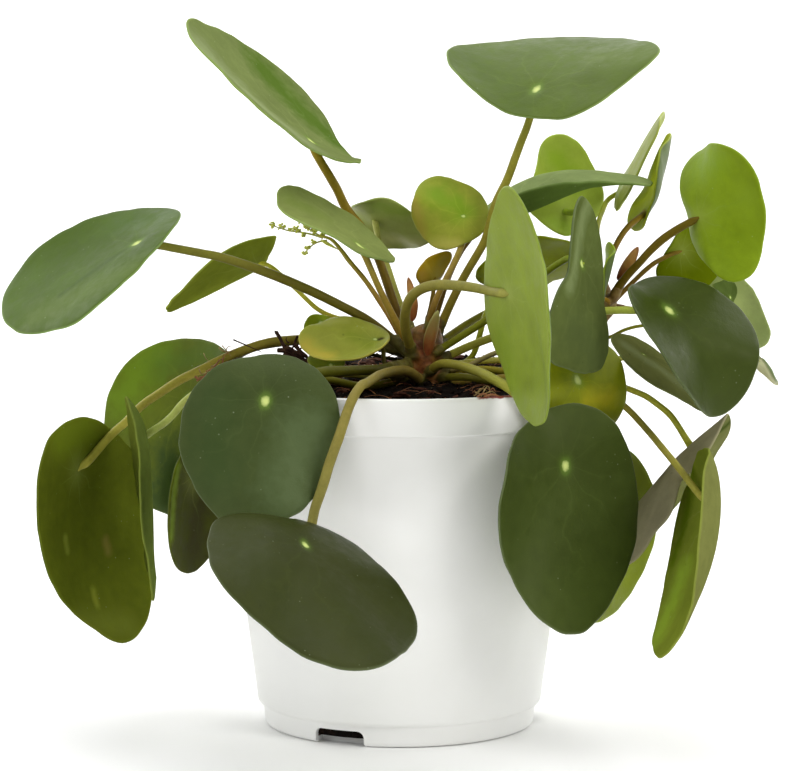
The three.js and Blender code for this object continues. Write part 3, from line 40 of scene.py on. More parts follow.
# ------------------------------------------------------------------ tables
# leaf: (blade row, stalk radius, points of the stalk's thick base, points of its free part), mm
# blade row: attachment x y z; azimuth, elevation, roll; half length a, half width b, distance
# from stalk to middle; bends; outline harmonics 2-6; margin lift 1-4; dent of the outline
LEAVES = {
    1: ([-28.3019, 12, 187.872, 2.6355, 0.7113, 0.1889, 38.0161, 31.671, 19.3883, -0.1241, -0.0792, -0.0101, -0.0459, -0.0799, -0.008, -0.0097, 0.0339, 0.0076, 0.0215, -0.0228, 0.0015, -0.0111, -0.0131, -0.0166, 0.0384, 0.0288, -0.01, -0.016, -0.0303, 0.0155, 0.0142, 0, 0, 1],
         1.6, [(7.4, -3.52, 121.34), (5.6, 0.9, 122.47), (3.32, 2.55, 124.51), (1.35, 2.71, 127), (0.04, 2.64, 129.88), (-0.36, 2.83, 130.95)],
         [(-0.49, 2.91, 131.35), (-1.91, 3.91, 135.77), (-3.36, 5.08, 140.13), (-4.85, 6.42, 144.43), (-6.37, 7.98, 148.64), (-8.15, 9.92, 152.57), (-10.12, 12.34, 156.14), (-12.46, 14.44, 159.66), (-15.5, 15.65, 163.07), (-18.06, 15.89, 166.98), (-20, 15.34, 171.26), (-22.29, 14.9, 175.38), (-24.71, 14.59, 179.43), (-27.05, 14, 183.49), (-28.14, 12.78, 186.18), (-28.63, 12.07, 187.5)]),
    2: ([43.3746, -5, 204.9912, 0.9774, 0.5133, 0.087, 29.2628, 31.6284, 13.8383, 0.1791, -0.1119, 0.056, 0.0061, -0.0582, -0.0291, 0.0166, -0.0277, 0.0082, 0.013, 0.0247, -0.0119, 0.0023, -0.0247, -0.08, 0.0326, 0.0045, -0.1134, 0.0325, 0.0175, -0.0217, 0.0267, 0, 0, 1],
         1.45, [(9, -3.83, 124.69), (12, -0.33, 125.82), (12.63, -0.85, 127.3), (13.25, -1.01, 128.76), (13.86, -1.11, 130.21), (14.31, -1.18, 131.28)],
         [(14.47, -1.22, 131.67), (16.39, -1.69, 136), (18.4, -2.26, 140.28), (20.51, -2.93, 144.5), (22.8, -3.73, 148.6), (25.19, -4.65, 152.62), (27.28, -5.55, 156.81), (28.62, -6.51, 161.29), (29.68, -7.36, 165.87), (31.36, -7.4, 170.31), (33.53, -6.9, 174.53), (35.34, -6.5, 178.92), (36.93, -6.08, 183.4), (38.6, -5.82, 187.86), (40.33, -5.7, 192.31), (41.77, -5.61, 196.86), (42.34, -5.52, 199.98), (43.09, -5.05, 203.04), (43.48, -4.77, 204.56)]),
    3: ([-83.0208, -18, 156.9607, 2.8334, -0.4347, -0.5446, 30.0559, 28.6977, 18.3772, -0.0104, 0.011, -0.1267, -0.0891, 0.0775, 0.0424, 0.0181, -0.0457, 0.0034, 0.0069, -0.0041, 0.0029, -0.0036, 0.0052, 0.0277, -0.0029, -0.0236, -0.0179, -0.011, 0.0031, 0.0133, 0.0085, 0, 0, 1],
         1.6, [(7, -6.3, 119.56), (4, -10.2, 120.68), (1.46, -8.08, 122.13), (-0.87, -7.52, 123.93), (-2.9, -6.43, 125.52)],
         [(-3.2, -6.26, 125.76), (-6.77, -4.5, 128.55), (-10.61, -3.7, 131.19), (-14.65, -3.91, 133.5), (-18.75, -4.79, 135.68), (-22.9, -5.79, 137.88), (-27.11, -6.67, 140), (-31.36, -7.46, 142.03), (-35.67, -8.18, 143.94), (-40.01, -8.83, 145.76), (-44.41, -9.42, 147.47), (-48.83, -9.96, 149.08), (-53.3, -10.48, 150.6), (-57.82, -10.99, 151.93), (-62.44, -11.47, 152.86), (-67.06, -11.92, 153.79), (-71.69, -12.36, 154.7), (-76.32, -12.85, 155.58), (-80.89, -13.53, 156.3), (-82.26, -16.32, 156.5), (-82.77, -17.81, 156.57)]),
    4: ([-47.0375, 25, 147.6982, -2.8872, -0.3028, 0.5589, 21.3312, 18.1966, 13.3479, 0.0903, -0.0445, 0.043, -0.0273, -0.015, -0.0272, -0.0629, -0.0334, -0.0347, -0.0009, 0.0352, 0.0268, -0.0038, -0.0143, -0.2381, -0.1065, 0.0668, -0.062, -0.0091, -0.0281, 0.0127, 0.0254, 0, 0, 1],
         0.85, [(6.6, -4.21, 120.65), (2.4, -1.83, 121.77), (1.12, -1.92, 122.54), (-0.14, -1.56, 123.26), (-1.41, -0.92, 123.93), (-2.33, -0.41, 124.42)],
         [(-2.67, -0.22, 124.59), (-6.5, 1.89, 126.48), (-10.46, 3.98, 128.09), (-14.61, 6.01, 129.2), (-18.81, 7.98, 130.14), (-22.95, 9.94, 131.3), (-26.77, 11.88, 133.22), (-30.09, 13.71, 135.99), (-33.23, 15.68, 138.86), (-36.33, 18, 141.52), (-39.35, 20.48, 144.12), (-42.67, 22.9, 146.37), (-45.42, 24.18, 147.07), (-46.85, 24.78, 147.29)]),
    5: ([-12.3446, -14, 155.8503, 2.4754, 0.578, 0.1687, 21.5806, 19.2902, 11.528, -0.0557, 0.0255, -0.0979, -0.054, -0.0579, 0.0503, 0.0201, -0.0203, -0.0087, 0.0027, -0.0069, 0.0121, -0.0022, -0.001, -0.0267, 0.0348, -0.0156, 0.0002, 0.0232, -0.0139, 0.0115, 0.0241, 0, 0, 1],
         1.2, [(6.84, -6.09, 122.36), (3.36, -9.36, 123.48), (2.44, -9.32, 124.76), (1.76, -9.45, 125.68)],
         [(1.55, -9.5, 126.04), (-0.74, -10.06, 130.12), (-2.85, -10.59, 134.29), (-4.89, -11.15, 138.5), (-6.86, -11.8, 142.73), (-8.67, -12.58, 147), (-10.49, -13.35, 151.27), (-11.89, -13.73, 154.05), (-12.61, -13.9, 155.44)]),
    6: ([-8.0904, 25, 161.9558, -0.2576, -0.3173, -0.8262, 13.5557, 11.8343, 5.6892, -0.0639, 0.0663, -0.0083, 0.0266, 0.0494, 0.0064, 0.0155, -0.0018, 0.0261, -0.0252, 0.0109, -0.0277, 0.011, -0.0097, 0.0489, -0.0424, -0.0214, 0.0115, -0.0877, 0.0581, 0.0093, -0.0811, 0, 0, 1],
         1.1, [(7.24, -3.67, 124.63), (4.96, 0.34, 125.76), (3.76, 2.02, 128.2), (2.45, 4.52, 130.48), (1.96, 5.1, 131.34)],
         [(1.8, 5.3, 131.67), (0.12, 7.46, 135.39), (-1.29, 9.64, 139.23), (-2.59, 11.85, 143.11), (-3.92, 14.11, 146.98), (-5.46, 16.28, 150.84), (-6.79, 18.77, 154.58), (-7.35, 22.11, 157.83), (-7.91, 23.94, 160.29), (-8.29, 24.67, 161.63)]),
    7: ([20.4527, -1, 164.2254, 2.8333, 0.2833, -1.1798, 12.7111, 11.8512, 5.1321, 0.0785, 0.2516, -0.0124, -0.1717, 0.0188, -0.0286, -0.0284, -0.0443, -0.02, 0.0033, -0.0278, 0.0187, -0.0042, 0.0056, 0.091, 0.0502, -0.0049, -0.082, 0.0845, -0.0009, 0.0633, 0.023, 0, 0, 1],
         1.1, [(8.29, -6.5, 126.67), (9.11, -10.79, 130.02), (9.52, -11.3, 131.46), (9.81, -11.7, 132.49)],
         [(9.91, -11.83, 132.88), (11.2, -12.99, 137.18), (13.08, -12.21, 141.47), (15.22, -9.85, 145.49), (17.4, -6.58, 149.38), (19.13, -2.07, 152.87), (20.42, 0.59, 156.02), (21.32, 1.19, 159.48), (21.04, 0.37, 162.47), (20.54, -0.54, 164.04)]),
    8: ([38.9577, 24.4, 167.3279, -0.1561, 0.3181, 0.439, 29.7772, 26.8282, 11.603, 0.1996, -0.074, 0.0501, -0.3709, -0.0406, 0.0137, 0.0581, 0.0555, 0.0125, -0.016, 0.0155, 0.0088, 0.0127, -0.0004, -0.0763, -0.0919, -0.0004, -0.0708, -0.0047, -0.0899, -0.0135, 0.0191, 0, 0, 1],
         1.2, [(8.6, -3.65, 126.37), (10.39, 0.39, 128.98), (10.94, 1.15, 130.29), (11.44, 2.09, 131.59), (11.79, 2.61, 132.56)],
         [(11.92, 2.79, 132.92), (13.26, 4.81, 136.95), (14.63, 6.89, 140.96), (16.23, 9.05, 144.89), (18.02, 10.9, 148.76), (20.15, 12.7, 152.46), (22.72, 14.53, 155.87), (25.6, 16.36, 159.04), (28.79, 18.2, 161.89), (32.47, 20.84, 162.79), (36.2, 23.49, 163.45), (38.21, 24.29, 165.67), (39.13, 24.59, 166.9)]),
    9: ([34.1146, -65, 144.6577, -1.1153, -0.3285, -1.3882, 30.7567, 32.5141, 11.409, 0.1612, 0.0956, 0.1828, 0.0025, -0.0643, 0.047, 0.0037, 0.0045, 0.0249, -0.0571, -0.0292, -0.0363, -0.0301, -0.0031, -0.1045, -0.011, 0.0011, -0.0859, -0.0192, -0.0046, 0.0106, 0.0157, 0, 0, 1],
         1.7, [(6.92, -6.21, 120.8), (3.68, -9.82, 121.93), (3.41, -11.69, 123.15), (3.2, -12.46, 123.96)],
         [(3.11, -12.74, 124.27), (2.24, -15.75, 127.63), (1.72, -18.81, 131.03), (1.76, -21.88, 134.49), (2.43, -25.02, 137.85), (4.03, -28.18, 140.88), (6.54, -31.45, 143.08), (9.59, -34.76, 144.45), (12.8, -38.16, 145.06), (16.06, -41.57, 145.28), (19.3, -45.02, 145.29), (22.52, -48.47, 145.09), (25.84, -51.82, 144.68), (28.39, -55.76, 144.45), (30.49, -61.69, 144.57), (32.55, -64.07, 144.57), (33.66, -65.19, 144.57)]),
    10: ([56.7084, -40.8, 151.7953, -0.5194, -1.4524, -0.009, 24.8056, 22.8845, 9.6604, 0.1206, -0.0268, 0.1028, -0.0042, 0.0936, -0.1052, -0.1214, 0.0438, 0.0016, 0.0582, 0.011, 0.0136, 0.004, -0.0219, -0.1013, -0.0589, 0.1123, 0.0008, -0.0002, 0.0082, -0.0019, -0.0033, 0, 0, 1],
         1.3, [(8.92, -6.34, 120.22), (11.68, -10.38, 121.34), (13.03, -10.34, 122.19), (14.02, -10.3, 122.81)],
         [(14.37, -10.29, 123.03), (18.4, -10.16, 125.57), (22.42, -10.09, 128.13), (26.41, -10.04, 130.74), (30.29, -9.92, 133.5), (34.07, -9.57, 136.38), (37.75, -9.83, 139.36), (41.07, -11.47, 142.35), (43.95, -14.01, 145.16), (46.61, -17.12, 147.58), (48.97, -20.7, 149.65), (51.13, -24.57, 151.41), (53.23, -28.66, 152.64), (55.34, -32.88, 152.35), (56.35, -35.81, 151.72), (56.38, -38.97, 151.7), (56.28, -40.56, 151.74)]),
    11: ([55.8627, 66, 161.5628, 1.7373, 1.5904, -3.0469, 16.016, 13.8481, 8.1539, 0.0807, -0.0386, 0.0482, 0.1143, 0.032, -0.0353, 0.0688, -0.0071, 0.0357, -0.0047, -0.0178, -0.0191, 0.0008, 0.0024, 0.1025, -0.0075, 0.0542, -0.0345, 0.0849, -0.0156, -0.068, -0.0704, 0, 0, 1],
         1.2, [(9.24, -4.03, 122.51), (12.96, -1.1, 123.63), (13.96, 0.73, 124.06), (14.64, 1.58, 124.44)],
         [(14.9, 1.88, 124.58), (17.69, 5.24, 126.18), (20.54, 8.58, 127.75), (23.53, 11.87, 129.24), (26.64, 15.14, 130.6), (29.81, 18.4, 131.89), (33.04, 21.63, 133.18), (36.31, 24.81, 134.51), (39.61, 27.91, 135.97), (43.02, 30.86, 137.53), (46.52, 33.67, 139.14), (49.99, 36.41, 140.92), (53.27, 39.17, 143.01), (56.25, 41.88, 145.56), (58.91, 44.54, 148.48), (60.88, 47.38, 151.76), (61.79, 50.34, 155.38), (61.61, 53.38, 159.03), (60.3, 57.02, 161.61), (58.18, 61.28, 161.5), (56.73, 64.11, 161.52), (55.99, 65.52, 161.55)]),
    12: ([74.9608, 55, 172.288, 0.2693, 1.0962, -0.2443, 18.6898, 15.7388, 7.9815, 0.0334, 0.1888, -0.1728, -0.0593, 0.013, -0.0059, 0.02, -0.0048, -0.0269, 0.0235, 0.0171, 0.029, 0.0006, 0.0316, -0.0092, 0.0341, -0.0866, 0.0497, 0.0274, -0.0447, 0.0093, 0.0066, 0, 0, 1],
         0.95, [(67.43, 3.09, 136.09), (67.07, 4.64, 136.26), (66.82, 6.29, 137.27), (66.53, 7.53, 138.38), (66.26, 8.69, 139.45), (66.09, 9.52, 140.2)],
         [(66.05, 9.88, 140.41), (65.72, 13.95, 142.43), (65.6, 18.29, 143.84), (65.57, 22.72, 145.05), (65.59, 27.19, 146.22), (65.64, 31.67, 147.47), (65.73, 36.1, 148.96), (65.82, 40.45, 150.76), (65.94, 44.8, 152.69), (66.16, 49.25, 154.74), (66.58, 53.92, 156.9), (67.4, 59, 159.17), (68.79, 64.32, 161.77), (70.82, 68.63, 165.32), (73.92, 66.65, 167.64), (75.48, 62.19, 168.73), (75.58, 57.38, 170.9), (75.41, 55, 172.07)]),
    13: ([81.3085, 32, 163.3824, 0.7172, 1.1743, 2.6225, 16.5838, 14.3217, 10.3635, 0.2016, 0.0909, -0.2094, -0.1405, 0.005, 0.0013, -0.0006, -0.0261, 0.0482, -0.0005, 0.0152, -0.0125, -0.0084, -0.0184, 0.0272, 0.0113, 0.1061, 0.0262, 0.0017, -0.0051, 0.0431, 0.0177, 0, 0, 1],
         1.1, [(67.75, 2.82, 137.8), (67.38, 4.32, 138.2), (67.01, 4.98, 139.29), (66.6, 5.93, 140.31), (66.27, 7.02, 141.35), (66.09, 7.88, 142.14)],
         [(66.13, 8.15, 142.46), (67.06, 10.9, 146.24), (68.73, 13.25, 150.05), (70.45, 15.95, 153.6), (72.53, 18.79, 156.81), (75.06, 21.74, 159.55), (77.84, 25.06, 161.5), (79.59, 27.49, 162.52), (80.55, 30.4, 163.27), (80.84, 31.92, 163.55)]),
    14: ([96.0484, -8, 164.2757, 2.3432, 2.7606, 1.6821, 19.6576, 20.1715, 9.8339, 0.0021, -0.0321, 0.1146, 0.0067, -0.0698, -0.0529, 0.0358, -0.0472, -0.0008, -0.0088, -0.0207, 0.0463, -0.0123, -0.0235, -0.1325, -0.029, 0.001, 0.0698, -0.0073, 0.0382, 0.0461, -0.0653, 0, 0, 1],
         1.4, [(68.24, 0.4, 137.81), (68.35, -1.18, 137.55), (69.05, -1.41, 138.96), (69.73, -1.64, 140.37), (70.22, -1.8, 141.42)],
         [(70.43, -1.87, 141.78), (73.24, -2.57, 145.51), (76.41, -3.29, 148.98), (79.48, -4, 152.55), (82.78, -4.69, 155.9), (86.45, -5.56, 158.8), (91.64, -7.1, 162.09), (94.34, -7.93, 163.54), (95.71, -8.36, 164.22)]),
    15: ([91.6043, 20, 151.8414, 0.5782, -0.7596, -1.2895, 11.8429, 10.8247, 5.2365, 0.1273, -0.0101, 0.0042, 0.0467, -0.0468, 0.0579, 0.0251, -0.0278, 0.0187, -0.0058, -0.0137, 0.0045, -0.0187, -0.0084, -0.0279, -0.022, -0.007, -0.0156, 0.0833, -0.0406, -0.0359, 0.0491, 0, 0, 1],
         0.85, [(68.28, 2.97, 136.09), (69, 4.39, 136.26), (69.79, 4.91, 136.97)],
         [(70.06, 5.1, 137.22), (73.23, 7.22, 140.12), (76.44, 9.33, 142.98), (79.7, 11.42, 145.79), (83.26, 13.41, 148.3), (88.08, 16.87, 150.39), (90.52, 18.74, 151.19), (91.79, 19.55, 151.74)]),
    16: ([84.3053, -32, 136.8292, -0.0837, -0.8087, 0.7605, 24.8494, 22.186, 10.9661, 0.164, -0.0539, 0.172, -0.0507, 0.0204, 0.0188, -0.0267, -0.0414, -0.0074, 0.0005, 0.051, 0.0062, -0.0035, -0.005, -0.0625, -0.0709, -0.0503, 0.0934, 0.003, 0.0167, -0.0324, 0.099, 0, 0, 1],
         1.4, [(9.48, -5.75, 118.05), (13.93, -7.98, 119.18), (15.36, -7.78, 119.81), (16.42, -7.62, 120.27)],
         [(16.8, -7.57, 120.44), (21.11, -6.97, 122.32), (25.5, -6.53, 124.09), (29.97, -6.28, 125.68), (34.47, -6.02, 127.17), (38.99, -5.81, 128.61), (43.54, -5.76, 129.96), (48.12, -6, 131.19), (52.72, -6.57, 132.21), (57.31, -7.36, 133.09), (61.85, -8.52, 133.85), (66.22, -10.25, 134.49), (70.24, -12.73, 134.88), (73.84, -15.81, 135.1), (76.99, -19.34, 135.44), (79.45, -23.37, 135.91), (81.67, -27.55, 136.34), (83.27, -30.27, 136.51), (84.07, -31.63, 136.58)]),
    17: ([78.3003, -6, 120.5897, 0.0216, -0.5754, 0.268, 20.1161, 16.744, 8.9235, 0.0562, 0.1464, -0.0524, -0.0114, -0.0181, 0.0402, -0.0105, -0.0173, -0.0019, 0.0002, -0.0111, -0.026, 0.0022, 0.0122, -0.0692, -0.0168, -0.0317, -0.0023, -0.0047, 0.0039, 0.013, 0.0058, 0, 0, 1],
         1, [(9.56, -5.65, 115.44), (14.25, -7.61, 116.57), (15.8, -7.26, 116.77), (17.34, -7.1, 117), (18.46, -7.01, 117.18)],
         [(18.88, -6.98, 117.24), (23.51, -6.68, 117.87), (28.18, -6.46, 118.21), (32.87, -6.29, 118.34), (37.55, -6.14, 118.36), (42.24, -6.03, 118.34), (46.93, -5.96, 118.3), (51.62, -5.95, 118.14), (56.31, -5.98, 117.98), (61, -6, 118.01), (65.68, -6.01, 118.33), (70.34, -6.02, 118.83), (73.44, -6, 119.26), (76.51, -5.92, 119.85), (78.04, -5.87, 120.19)]),
    18: ([109.4427, 32, 132.7899, -3.7625, -1.1672, 0.6362, 14.9189, 14.5952, 5.9222, -0.099, 0.2448, -0.1065, 0.0437, -0.007, -0.0594, -0.0773, -0.0043, 0.0278, -0.03, -0.0038, 0.0056, -0.0165, -0.0147, 0.0029, 0.051, -0.0774, -0.1087, -0.0504, -0.0048, -0.1045, -0.0053, 0, 0, 1],
         0.55, [],
         [(64.42, 3.13, 123.98), (68.5, 5.46, 124.79), (72.26, 7.91, 126.45), (76.25, 10.34, 127.43), (80.39, 12.72, 127.78), (84.53, 15.05, 128.35), (88.67, 17.39, 128.97), (92.76, 19.8, 129.61), (96.73, 22.39, 130.26), (100.53, 25.22, 130.93), (105.56, 29.05, 131.86), (108.21, 30.76, 132.36), (109.57, 31.54, 132.63)]),
    19: ([107.4366, 8, 137.3806, 3.9008, 0.5344, -1.2399, 5.9791, 4.9362, 2.283, 0.1268, 0.1231, 0.0676, -0.0506, -0.0278, -0.0127, 0.0883, 0.0569, 0.0379, 0.0165, 0.0262, -0.0176, -0.0185, 0.0247, -0.0613, -0.0913, -0.0026, 0.054, 0.068, 0.1082, -0.0694, 0.0441, 0, 0, 1],
         0.55, [(68.01, 3.13, 134.95), (68.69, 4.57, 134.97), (70.23, 4.64, 134.76), (71.75, 4.65, 134.5), (72.86, 4.73, 134.28)],
         [(73.28, 4.77, 134.21), (77.9, 5.18, 133.75), (82.53, 5.59, 134.09), (87.13, 6, 134.76), (91.74, 6.43, 135.39), (96.35, 6.85, 135.99), (102.49, 7.45, 136.81), (105.55, 7.9, 137.15), (107.05, 8.29, 137.24)]),
    20: ([119.4132, 24, 115.3939, -0.4566, -0.9204, -0.7255, 6.6778, 5.2433, 3.2805, 0.1931, 0.1482, -0.0471, -0.041, -0.0092, -0.0766, -0.0509, 0.0745, -0.0245, 0.0235, -0.0726, -0.0098, 0.0268, 0.0241, -0.015, 0.1681, 0.1349, 0.0486, 0.0021, 0.0794, -0.0205, -0.0096, 0, 0, 1],
         0.6, [(68, 3.17, 133.96), (69.02, 4.4, 134), (70.53, 5.35, 133.71), (72.02, 5.93, 133.51), (73.11, 6.29, 133.38)],
         [(73.51, 6.42, 133.32), (77.9, 7.88, 132.46), (82.16, 9.36, 131.09), (86.35, 10.85, 129.49), (90.5, 12.36, 127.79), (94.64, 13.89, 126.05), (98.74, 15.39, 124.19), (102.81, 16.88, 122.24), (106.87, 18.42, 120.3), (110.94, 20.13, 118.52), (115.01, 22.12, 117.06), (117.7, 23.36, 115.94), (119, 23.83, 115.17)]),
    21: ([55.8712, -34, 114.9211, 0.7073, -0.8314, 1.5013, 19.3587, 18.8947, 6.6357, 0.0682, 0.148, 0.0016, 0.0083, -0.0298, -0.0166, -0.0204, 0.0308, 0.0015, -0.0048, 0.0288, -0.0027, -0.0318, 0.0246, -0.0671, 0.0404, -0.0618, 0.0025, 0.0211, -0.0117, -0.0826, 0.0083, 0, 0, 1],
         0.9, [(9.48, -5.86, 113.92), (13.93, -8.42, 115.05), (15.38, -9.56, 115.43), (16.84, -10.17, 115.69), (17.9, -10.5, 115.86)],
         [(18.3, -10.63, 115.95), (22.48, -12.05, 117.26), (26.25, -13.57, 119.46), (30.12, -15.21, 121.39), (34.31, -16.96, 122.34), (38.57, -18.8, 122.6), (42.69, -20.85, 121.92), (46.48, -22.93, 120.15), (49.98, -25.23, 118.08), (54.06, -29.31, 115.76), (55.14, -32.14, 115.13), (55.53, -33.64, 114.9)]),
    22: ([51.2805, -51, 90.1676, -1.2548, -1.4041, -0.2553, 33.1744, 29.3645, 15.3443, -0.0573, -0.0299, -0.0752, -0.0381, 0.0378, -0.0082, 0.0323, -0.0079, 0.0263, -0.0244, -0.0026, 0.0024, -0.001, -0.0064, -0.0177, -0.0424, -0.0134, 0.0213, 0.0615, 0.0459, -0.0075, -0.0484, 0, 0, 1],
         1.6, [(8.44, -6.65, 114.26), (9.77, -11.62, 115.39), (10.43, -12.92, 116.03), (10.9, -13.88, 116.54)],
         [(11.07, -14.22, 116.71), (13.2, -18.21, 118.25), (15.71, -22.26, 118.75), (18.23, -26.33, 118.82), (20.7, -30.45, 118.59), (23.08, -34.62, 118.15), (25.15, -39.01, 117.75), (27.02, -43.59, 117.33), (29.6, -47.85, 116.36), (33.43, -50.88, 114.39), (36.88, -50.8, 111.42), (39.97, -49, 107.96), (42.87, -48.08, 104.25), (45.56, -48.53, 100.48), (47.54, -48.71, 96.45), (48.22, -48.55, 93.68), (50.04, -49.83, 91.25), (51.01, -50.59, 90.09)]),
    23: ([64.0876, -1.9, 71.6956, -2.0367, -1.7922, -1.5275, 28.8997, 29.1692, 11.7124, -0.062, -0.0853, 0.0206, 0.1608, -0.0328, -0.0269, -0.0095, 0.0258, 0, 0, 0, 0, 0, 0, 0, 0, 0, 0, 0, 0, 0, 0, 0, 0, 1],
         1.3, [(9.24, -6.21, 111.83), (12.97, -9.84, 112.95), (13.97, -11.36, 113.2), (14.94, -12.59, 113.41), (15.64, -13.47, 113.56)],
         [(15.91, -13.79, 113.62), (18.96, -17.28, 114.15), (22.65, -20.16, 114.19), (26.7, -22.48, 113.72), (31.14, -23.97, 113.27), (35.84, -23.83, 113.16), (40.44, -22.72, 113.22), (45.11, -22.01, 113.36), (49.83, -22.46, 113.67), (54.57, -22.9, 113.93), (58.49, -22.62, 111.62), (60.63, -20.85, 107.56), (61.94, -17.59, 103.27), (63.08, -12.73, 98.96), (64.08, -6.24, 94.53), (64.79, 0.58, 90.02), (64.61, 2.75, 86.03), (63.53, 1.57, 82.52), (62.36, 0.45, 79), (61.87, -0.33, 75.24), (62.94, -1.19, 72.84), (63.65, -1.66, 71.7)]),
    24: ([93.5091, -12.4, 90.6533, -3.6112, -0.8924, 3.1154, 30.5958, 28.6399, 14.9281, -0.1274, -0.2765, -0.1268, -0.1646, -0.0002, 0.0124, -0.009, -0.0576, 0.0187, -0.0186, -0.0056, 0.0136, -0.0104, 0.0184, -0.0439, -0.0708, -0.0687, 0.0542, -0.0387, -0.014, -0.0419, 0.0104, -2.12, 0.27, 0.27],
         1.15, [(9.48, -5.88, 112.97), (13.93, -8.51, 114.09), (15.53, -8.03, 114.24), (17.09, -8.03, 114.49), (18.23, -8.1, 114.69)],
         [(18.64, -8.13, 114.76), (23.3, -8.48, 115.49), (28.01, -8.8, 115.59), (32.7, -9.09, 115.09), (37.42, -9.35, 115.05), (42.14, -9.59, 115.11), (46.87, -9.8, 115.1), (51.59, -9.99, 114.85), (56.28, -10.16, 114.27), (60.92, -10.31, 113.41), (65.5, -10.46, 112.24), (69.95, -10.61, 110.63), (74.4, -10.75, 109.04), (78.72, -10.88, 107.15), (82.57, -11.01, 104.41), (86.19, -11.13, 101.37), (89, -11.24, 97.57), (90.66, -11.41, 94.9), (92.33, -11.93, 92.28), (93.16, -12.24, 90.97)]),
    25: ([96.1279, -46.9, 78.2968, -2.0061, -1.0262, -2.2316, 35.2944, 30.5401, 17.0314, 0.2499, 0.146, -0.0168, 0.098, -0.0841, 0.0109, 0.0246, 0.0426, -0.0055, 0.025, -0.0135, -0.0036, 0.0235, -0.001, 0.0506, 0.0669, 0.0345, -0.0165, 0.0075, 0.0174, -0.0085, 0.0093, 0, 0, 1],
         1.2, [(9.32, -6.15, 109.87), (13.3, -9.58, 111), (14.81, -10.27, 111.17), (16.27, -10.75, 111.38), (17.34, -11.15, 111.55)],
         [(17.72, -11.3, 111.61), (22.11, -12.89, 112.27), (26.65, -14.08, 112.83), (31.27, -14.92, 113.34), (35.94, -15.53, 113.78), (40.64, -15.92, 114.12), (45.37, -15.97, 114.27), (50.08, -15.53, 114.32), (54.74, -14.72, 114.11), (59.24, -13.79, 113.06), (63.15, -12.62, 110.68), (66.9, -11.83, 107.91), (70.64, -11.59, 105.04), (73.85, -13.48, 102.23), (76.23, -16.78, 99.83), (78.38, -20.36, 97.59), (80.19, -24.26, 95.62), (81.95, -28.18, 93.63), (84.1, -31.6, 91.17), (86.58, -34.38, 88.26), (89.03, -37.1, 85.26), (91.42, -39.72, 82.13), (93.76, -42.76, 79.39), (95.06, -45.53, 78.68), (95.66, -46.97, 78.46)]),
    26: ([-40.8156, -61, 111.5547, 0.9669, -1.887, 2.6104, 27.3236, 24.6563, 11.2103, 0.0785, 0.2081, 0.0128, -0.0477, 0.0112, -0.007, 0.0303, 0.0224, 0.0001, -0.0049, 0.0042, -0.0017, 0.0055, -0.0061, 0.0251, 0.0369, -0.0547, 0.0104, 0.046, 0.0298, -0.0019, 0.0348, 0, 0, 1],
         1.8, [(6.68, -6.06, 115.61), (2.72, -9.24, 116.74), (1.4, -12.84, 117.14), (0.11, -15.73, 117.26), (-1.17, -18.4, 117.33), (-2.59, -21.8, 117.44), (-3.17, -22.96, 117.45)],
         [(-3.4, -23.31, 117.45), (-5.95, -27.08, 117.53), (-8.53, -30.83, 117.75), (-11.15, -34.59, 118.05), (-13.84, -38.35, 118.36), (-16.61, -42.1, 118.63), (-19.38, -45.89, 118.99), (-22.35, -49.53, 119.22), (-25.89, -52.51, 118.93), (-30.12, -54.33, 117.95), (-34.29, -55.87, 116.24), (-37.89, -57.33, 113.47), (-39.87, -59.4, 112.07), (-40.79, -60.52, 111.42)]),
    27: ([-27.7334, -91, 72.2447, -1.1968, -0.6846, -0.2636, 34.7619, 31.5984, 14.9918, 0.0878, 0.1157, 0.1003, 0.0399, -0.0013, 0.0371, 0.0512, 0.0196, -0.0037, -0.0265, 0.0457, -0.0083, -0.0082, 0.0046, 0.1353, 0.023, 0.0074, -0.0199, 0.0259, 0.0229, 0.0454, 0.0243, 0, 0, 1],
         1.65, [(7.72, -6.72, 111.09), (6.89, -11.89, 112.21), (6.3, -13.21, 112.84), (5.87, -14.18, 113.31)],
         [(5.71, -14.53, 113.48), (3.9, -18.55, 115.24), (2, -22.65, 116.66), (-0.12, -26.86, 117.17), (-2.21, -31.11, 117.34), (-4.19, -35.42, 117.33), (-6.01, -39.8, 117.16), (-7.39, -44.32, 116.87), (-8.7, -48.87, 116.46), (-10.09, -53.38, 116.06), (-11.68, -57.83, 115.81), (-13.72, -61.17, 113.24), (-15.5, -63.48, 109.52), (-16.94, -65.4, 105.43), (-18.24, -67.63, 101.47), (-19.84, -67.81, 97.05), (-21.39, -67.51, 92.58), (-22.73, -67.66, 88.03), (-24.18, -67.25, 83.55), (-25.7, -66.38, 79.14), (-26.62, -65.91, 74.52), (-27.1, -66.37, 69.89), (-27.46, -70.16, 67.22), (-27.66, -74.76, 66.16), (-27.77, -79.48, 66.44), (-27.85, -84.03, 67.75), (-27.9, -86.79, 69.29), (-27.94, -89.42, 71.03), (-27.97, -90.76, 71.87)]),
    28: ([-71.3746, 42, 99.5902, 2.7574, -1.13, -1.3341, 30.699, 28.4934, 10.2994, 0.0978, 0.0061, -0.0457, 0.0176, 0.0096, 0.0107, -0.0264, -0.0059, -0.0131, -0.0201, -0.003, 0.0033, -0.0008, -0.0056, 0.0139, -0.085, -0.0158, -0.0377, 0.0372, 0.059, -0.0081, -0.0192, 0, 0, 1],
         1.3, [(6.76, -3.92, 118.27), (3.04, -0.68, 119.39), (0.44, 2.78, 119.84), (-2.21, 4.43, 120.55), (-4.88, 5.88, 121.21), (-7.57, 7.29, 121.74), (-10.26, 8.68, 122.18), (-11.24, 9.19, 122.33)],
